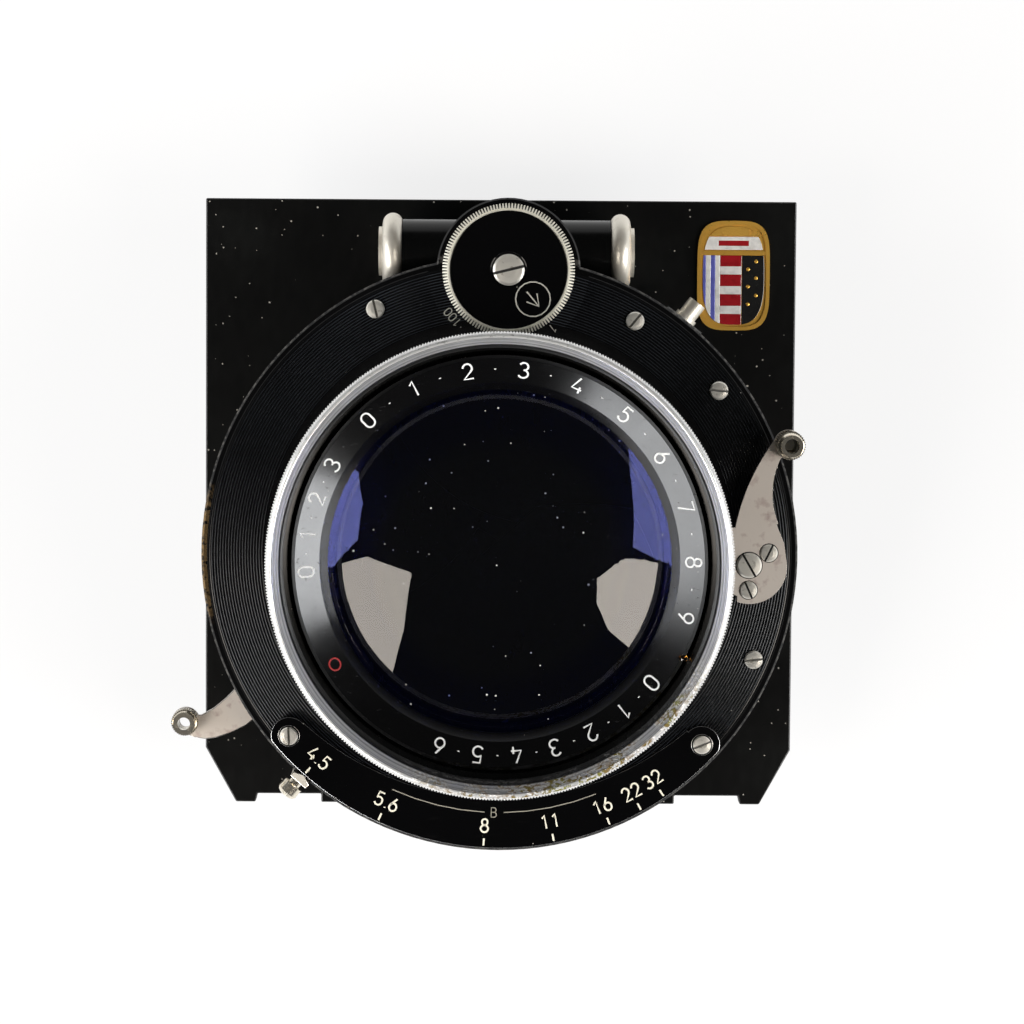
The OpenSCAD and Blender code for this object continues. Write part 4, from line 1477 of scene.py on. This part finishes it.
@dataclass
class FrontCell:
    """The front cell: barrel, bright rim with its thread, name ring and glass."""

    # The rim's section is in millimetres, with its heights down from its top.
    relief_r: float = 33.78
    seat_r: float = 34.03
    wall_r: float = 35.3
    bevel_r: float = 34.6
    bevel_width: float = 1.2
    bevel_depth: float = 2.86
    thread_r: float = 33.4
    thread_depth: float = 0.3
    thread_pitch: float = 0.45
    thread_top: float = -3.1
    thread_foot: float = -5.0
    knurl_foot: float = -3.4
    bevel_rings: int = 6
    # What follows is in metres.
    knurl_r: float = 35.68 * MM
    teeth: int = 480
    tooth_depth: float = 0.007
    cone_r: float = 31.4 * MM
    cone_rise: float = 2.1 * MM
    cone_run: float = 3.65 * MM
    figure_r: float = 29.75 * MM
    figure_gap: float = 0.012 * MM
    figure_height: float = 2.7 * MM
    figure_rows: tuple = (
        ("0-1-2-3-4-5-6-7-8-9", 133.0, -16.0), ("0-1-2-3", 183.0, 150.0),
        ("0-1-2-3-4-5-6", -38.0, -108.0),
    )
    mark_at: float = -148.0
    mark_r: float = 0.95 * MM
    chip_r: float = 31.7 * MM
    chip_bearing: float = -27.0
    chip_half: tuple[float, float, float] = (0.85 * MM, 0.55 * MM, 0.4 * MM)
    chip_rough: float = 0.07 * MM

    def build(self) -> None:
        """Dresses the cell, and adds its rim, its figures and its chip of amber wax."""
        dress(Finishes.barrel, "front_barrel")
        dress(Finishes.name_ring, "name_ring")
        dress(Finishes.glass, "front_element")
        dress(Finishes.inner_glass, "middle_element")
        self.turn_rim()
        self.letter_ring()
        self.add_chip()

    def turn_rim(self) -> None:
        """Turns the rim with its thread, and knurls it outside."""
        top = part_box("front_rim_ring")[1].z
        radii = [
            (self.thread_r, -5.1), (self.relief_r, -5.1), (self.relief_r, -7.9), (self.seat_r, -7.9),
            (self.seat_r, -4.8), (self.wall_r, -3.7), (self.wall_r, -0.4), (35.22, -0.2),
            (34.98, -0.02), (34.90, 0.0), (34.74, 0.0), (34.66, -0.04),
        ]
        for k in range(self.bevel_rings):
            share = (k + 0.5) / self.bevel_rings
            across, down = self.bevel_width * share, self.bevel_depth * share
            radii.append((self.bevel_r + 0.04 - across, -0.06 - down))
            radii.append((self.bevel_r - across, -0.16 - down))
        crest = self.thread_top
        while crest > self.thread_foot:
            radii += [(self.thread_r, crest), (self.thread_r - self.thread_depth, crest - 0.22)]
            crest -= self.thread_pitch
        rim = turned([(r * MM, z * MM) for r, z in radii], Vector((0, 0, top)), 192)
        made = piece(rim, "front_rim_dressed", "body", "rim_aluminium", Finishes.rim)
        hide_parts("front_rim_ring")
        band = self.knurl(top)
        made = piece(band, "front_rim_knurl", "body", "rim_aluminium", Finishes.rim_knurl)
        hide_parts("front_rim_ring")

    def knurl(self, top: float) -> bmesh.types.BMesh:
        """Makes the knurled band.

        Args:
            top: Height of the rim.

        Returns:
            The band.
        """
        maker = bmesh.new()
        ring = bmesh.ops.create_circle(
            maker, cap_ends=False, segments=self.teeth * 2, radius=self.knurl_r
        )
        valley = 1 - self.tooth_depth
        for index, vert in enumerate(ring["verts"]):
            vert.co.z = top + self.knurl_foot * MM
            if index % 2:
                vert.co *= Vector((valley, valley, 1))
        edges = maker.edges[:]
        for reach, level in ((1.0, -0.78), (0.988, -0.46), (0.986, self.knurl_foot)):
            grown = bmesh.ops.extrude_edge_only(maker, edges=edges)["geom"]
            edges = [g for g in grown if isinstance(g, bmesh.types.BMEdge)]
            for vert in (g for g in grown if isinstance(g, bmesh.types.BMVert)):
                out = vert.co.xy.length if reach == 1.0 else self.knurl_r * reach
                vert.co = (*(vert.co.xy.normalized() * out), top + level * MM)
        bmesh.ops.bridge_loops(maker, edges=[e for e in maker.edges if e.is_boundary])
        bmesh.ops.recalc_face_normals(maker, faces=maker.faces)
        return maker

    def letter_ring(self) -> None:
        """Writes plain numbers round the name ring's cone, with a small red mark."""
        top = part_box("name_ring")[1].z
        slope = math.atan2(self.cone_rise, self.cone_run)
        height = top - (self.cone_r - self.figure_r) * math.tan(slope) + self.figure_gap
        lean = Matrix.Rotation(slope, 4, "X")
        white = Engraver("name_ring_figures", stroke=0.30 * MM)
        for words, start, end in self.figure_rows:
            for k, figure in enumerate(words):
                bearing = start + (end - start) * k / (len(words) - 1)
                flat = upright_at(polar(self.figure_r, bearing, height), bearing)
                white.write(figure, self.figure_height, flat @ lean)
        white.finish("body", "name_ring_black", Finishes.white)
        red = Engraver("name_ring_mark", stroke=0.26 * MM)
        flat = upright_at(polar(self.figure_r, self.mark_at, height), self.mark_at)
        red.stamp([arc(0, 0, self.mark_r, self.mark_r, 0, 360)], flat @ lean)
        red.finish("body", "name_ring_black", Finishes.red)

    def add_chip(self) -> None:
        """Adds the chip of amber wax on the name ring's edge."""
        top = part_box("name_ring")[1].z
        maker = bmesh.new()
        place = polar(self.chip_r, self.chip_bearing, top - 0.1 * MM)
        turn = Matrix.Rotation(math.radians(self.chip_bearing + 8), 4, "Z")
        size = Matrix.Diagonal((*self.chip_half, 1))
        bmesh.ops.create_icosphere(
            maker, subdivisions=2, radius=1.0, matrix=Matrix.Translation(place) @ turn @ size
        )
        roll = random.Random(7)
        for vert in maker.verts:
            vert.co += Vector([roll.uniform(-1, 1) for _ in range(3)]) * self.chip_rough
        piece(maker, "amber_chip", "body", "name_ring_black", Finishes.amber)


@dataclass
class RearCell:
    """The rear cell behind the board."""

    def build(self) -> None:
        """Dresses the rear barrel and its glass."""
        dress(Finishes.barrel, "rear_barrel", "rear_retaining_ring")
        dress(Finishes.inner_glass, "rear_inner_element")
        dress(Finishes.glass, "rear_outer_element")


@dataclass
class Iris:
    """The iris leaves and the shutter blades."""

    leaves: int = 10
    blades: int = 5

    def build(self) -> None:
        """Dresses every leaf and blade."""
        dress(Finishes.blades, *(f"iris_leaf_{k + 1:02d}" for k in range(self.leaves)))
        dress(Finishes.blades, *(f"shutter_blade_{k + 1}" for k in range(self.blades)))


# ---------------------------------------------------------------- studio


def facing(place: Point) -> Matrix:
    """Gives a matrix that looks at the object.

    Args:
        place: Where it stands.

    Returns:
        The matrix, whose -Z looks at the object.
    """
    aim = LIT_POINT - Vector(place)
    return Matrix.Translation(place) @ aim.to_track_quat("-Z", "Y").to_matrix().to_4x4()


@dataclass
class Softbox:
    """A flat glowing screen that faces the object."""

    name: str
    place: Point
    outline: tuple[tuple[float, float], ...]
    strength: float
    tint: Colour = (1.0, 0.92, 0.83)

    def build(self) -> None:
        """Makes the screen from its outline, drawn about its middle."""
        stand = facing(self.place)
        maker = bmesh.new()
        corners = [maker.verts.new(stand @ Vector((*corner, 0))) for corner in self.outline]
        maker.faces.new(corners)
        screen = placed(self.name, meshed(maker, self.name))
        screen.data.materials.append(Glow(self.name, self.tint, self.strength).material())


@dataclass
class Lamp:
    """One soft area lamp that points at the object."""

    name: str
    place: Point
    size: tuple[float, float]
    power: float
    tint: Colour = (1.0, 1.0, 1.0)

    def build(self) -> None:
        """Makes the lamp."""
        data = bpy.data.lights.new(self.name, "AREA")
        data.shape = "RECTANGLE"
        data.size, data.size_y = self.size
        data.energy = self.power
        data.color = self.tint
        placed(self.name, data).matrix_world = facing(self.place)


@dataclass
class Studio:
    """The camera, the pale floor and the soft light."""

    camera_place: Point = (-0.0017, 0.0428, 0.5735)
    camera_turn: tuple[float, float, float] = (-3.89, -0.39, 0.37)
    focal: float = 118.2
    floor_half: float = 2.5
    floor_gap: float = 0.2 * MM
    wall_light: float = 0.8
    ceiling_light: float = 0.04
    wall_top: float = 0.30
    wall_fade: float = 0.15
    lights: tuple = (
        Softbox(
            "left_screen", (-0.60, -0.32, 0.77),
            ((-0.27, -0.08), (-0.25, 0.12), (-0.09, 0.31), (0.14, 0.13), (0.35, -0.11)), 8.5,
        ),
        Softbox(
            "right_screen", (0.66, -0.265, 0.77),
            ((0.22, -0.06), (0.18, 0.16), (0.04, 0.27), (-0.08, 0.22), (-0.18, 0.10), (-0.23, -0.09)), 9.5,
        ),
        Lamp("side_left", (-0.90, -0.40, 0.68), (1.75, 0.28), 15.0, (0.96, 0.98, 1.0)),
        Lamp("side_right", (0.95, -0.16, 0.69), (0.76, 0.24), 8.2, (0.96, 0.98, 1.0)),
    )

    def build(self) -> None:
        """Builds the studio."""
        self.add_camera()
        self.add_floor()
        self.light_world()
        for light in self.lights:
            light.build()
        bpy.context.scene.view_settings.view_transform = "Standard"

    def add_camera(self) -> None:
        """Puts the camera at the viewing angle."""
        data = bpy.data.cameras.new("camera")
        data.lens = self.focal
        data.sensor_width = 36.0
        data.clip_start = 0.01
        camera = placed("camera", data)
        stand = Matrix.Translation(self.camera_place)
        for angle, axis in zip(self.camera_turn, "XYZ"):
            stand = stand @ Matrix.Rotation(math.radians(angle), 4, axis)
        camera.matrix_world = stand
        bpy.context.scene.camera = camera

    def add_floor(self) -> None:
        """Lays the pale floor under the object."""
        maker = bmesh.new()
        bmesh.ops.create_grid(
            maker, x_segments=8, y_segments=8, size=self.floor_half,
            matrix=Matrix.Translation((0, 0, CAD_BOX[0].z - self.floor_gap)),
        )
        floor = placed("floor", meshed(maker, "floor"))
        floor.data.materials.append(Paper("floor_paper").material())

    def light_world(self) -> None:
        """Lights the room: pale walls under a dark ceiling."""
        world = bpy.data.worlds.new("room")
        bpy.context.scene.world = world
        graph = Graph(world)
        toward = graph.node("ShaderNodeTexCoord", output="Generated")
        rise = graph.node("ShaderNodeSeparateXYZ", None, {0: toward}, 2)
        shade = ((self.wall_top - rise) / self.wall_fade).clamped()
        strength = shade * (self.wall_light - self.ceiling_light) + self.ceiling_light
        graph.finish(
            graph.node("ShaderNodeBackground", None, {"Color": (1.0, 1.0, 1.0), "Strength": strength}),
            "ShaderNodeOutputWorld",
        )


def main() -> None:
    logging.basicConfig(level=logging.INFO, format="%(name)s: %(message)s")
    parts = (
        LensBoard(), ShutterCase(), ApertureScale(), SpeedDial(), Levers(), FrontCell(), RearCell(),
        Iris(), Studio(),
    )
    for part in parts:
        part.build()
        LOG.info("%s is built", type(part).__name__)


if __name__ == "__main__":
    main()
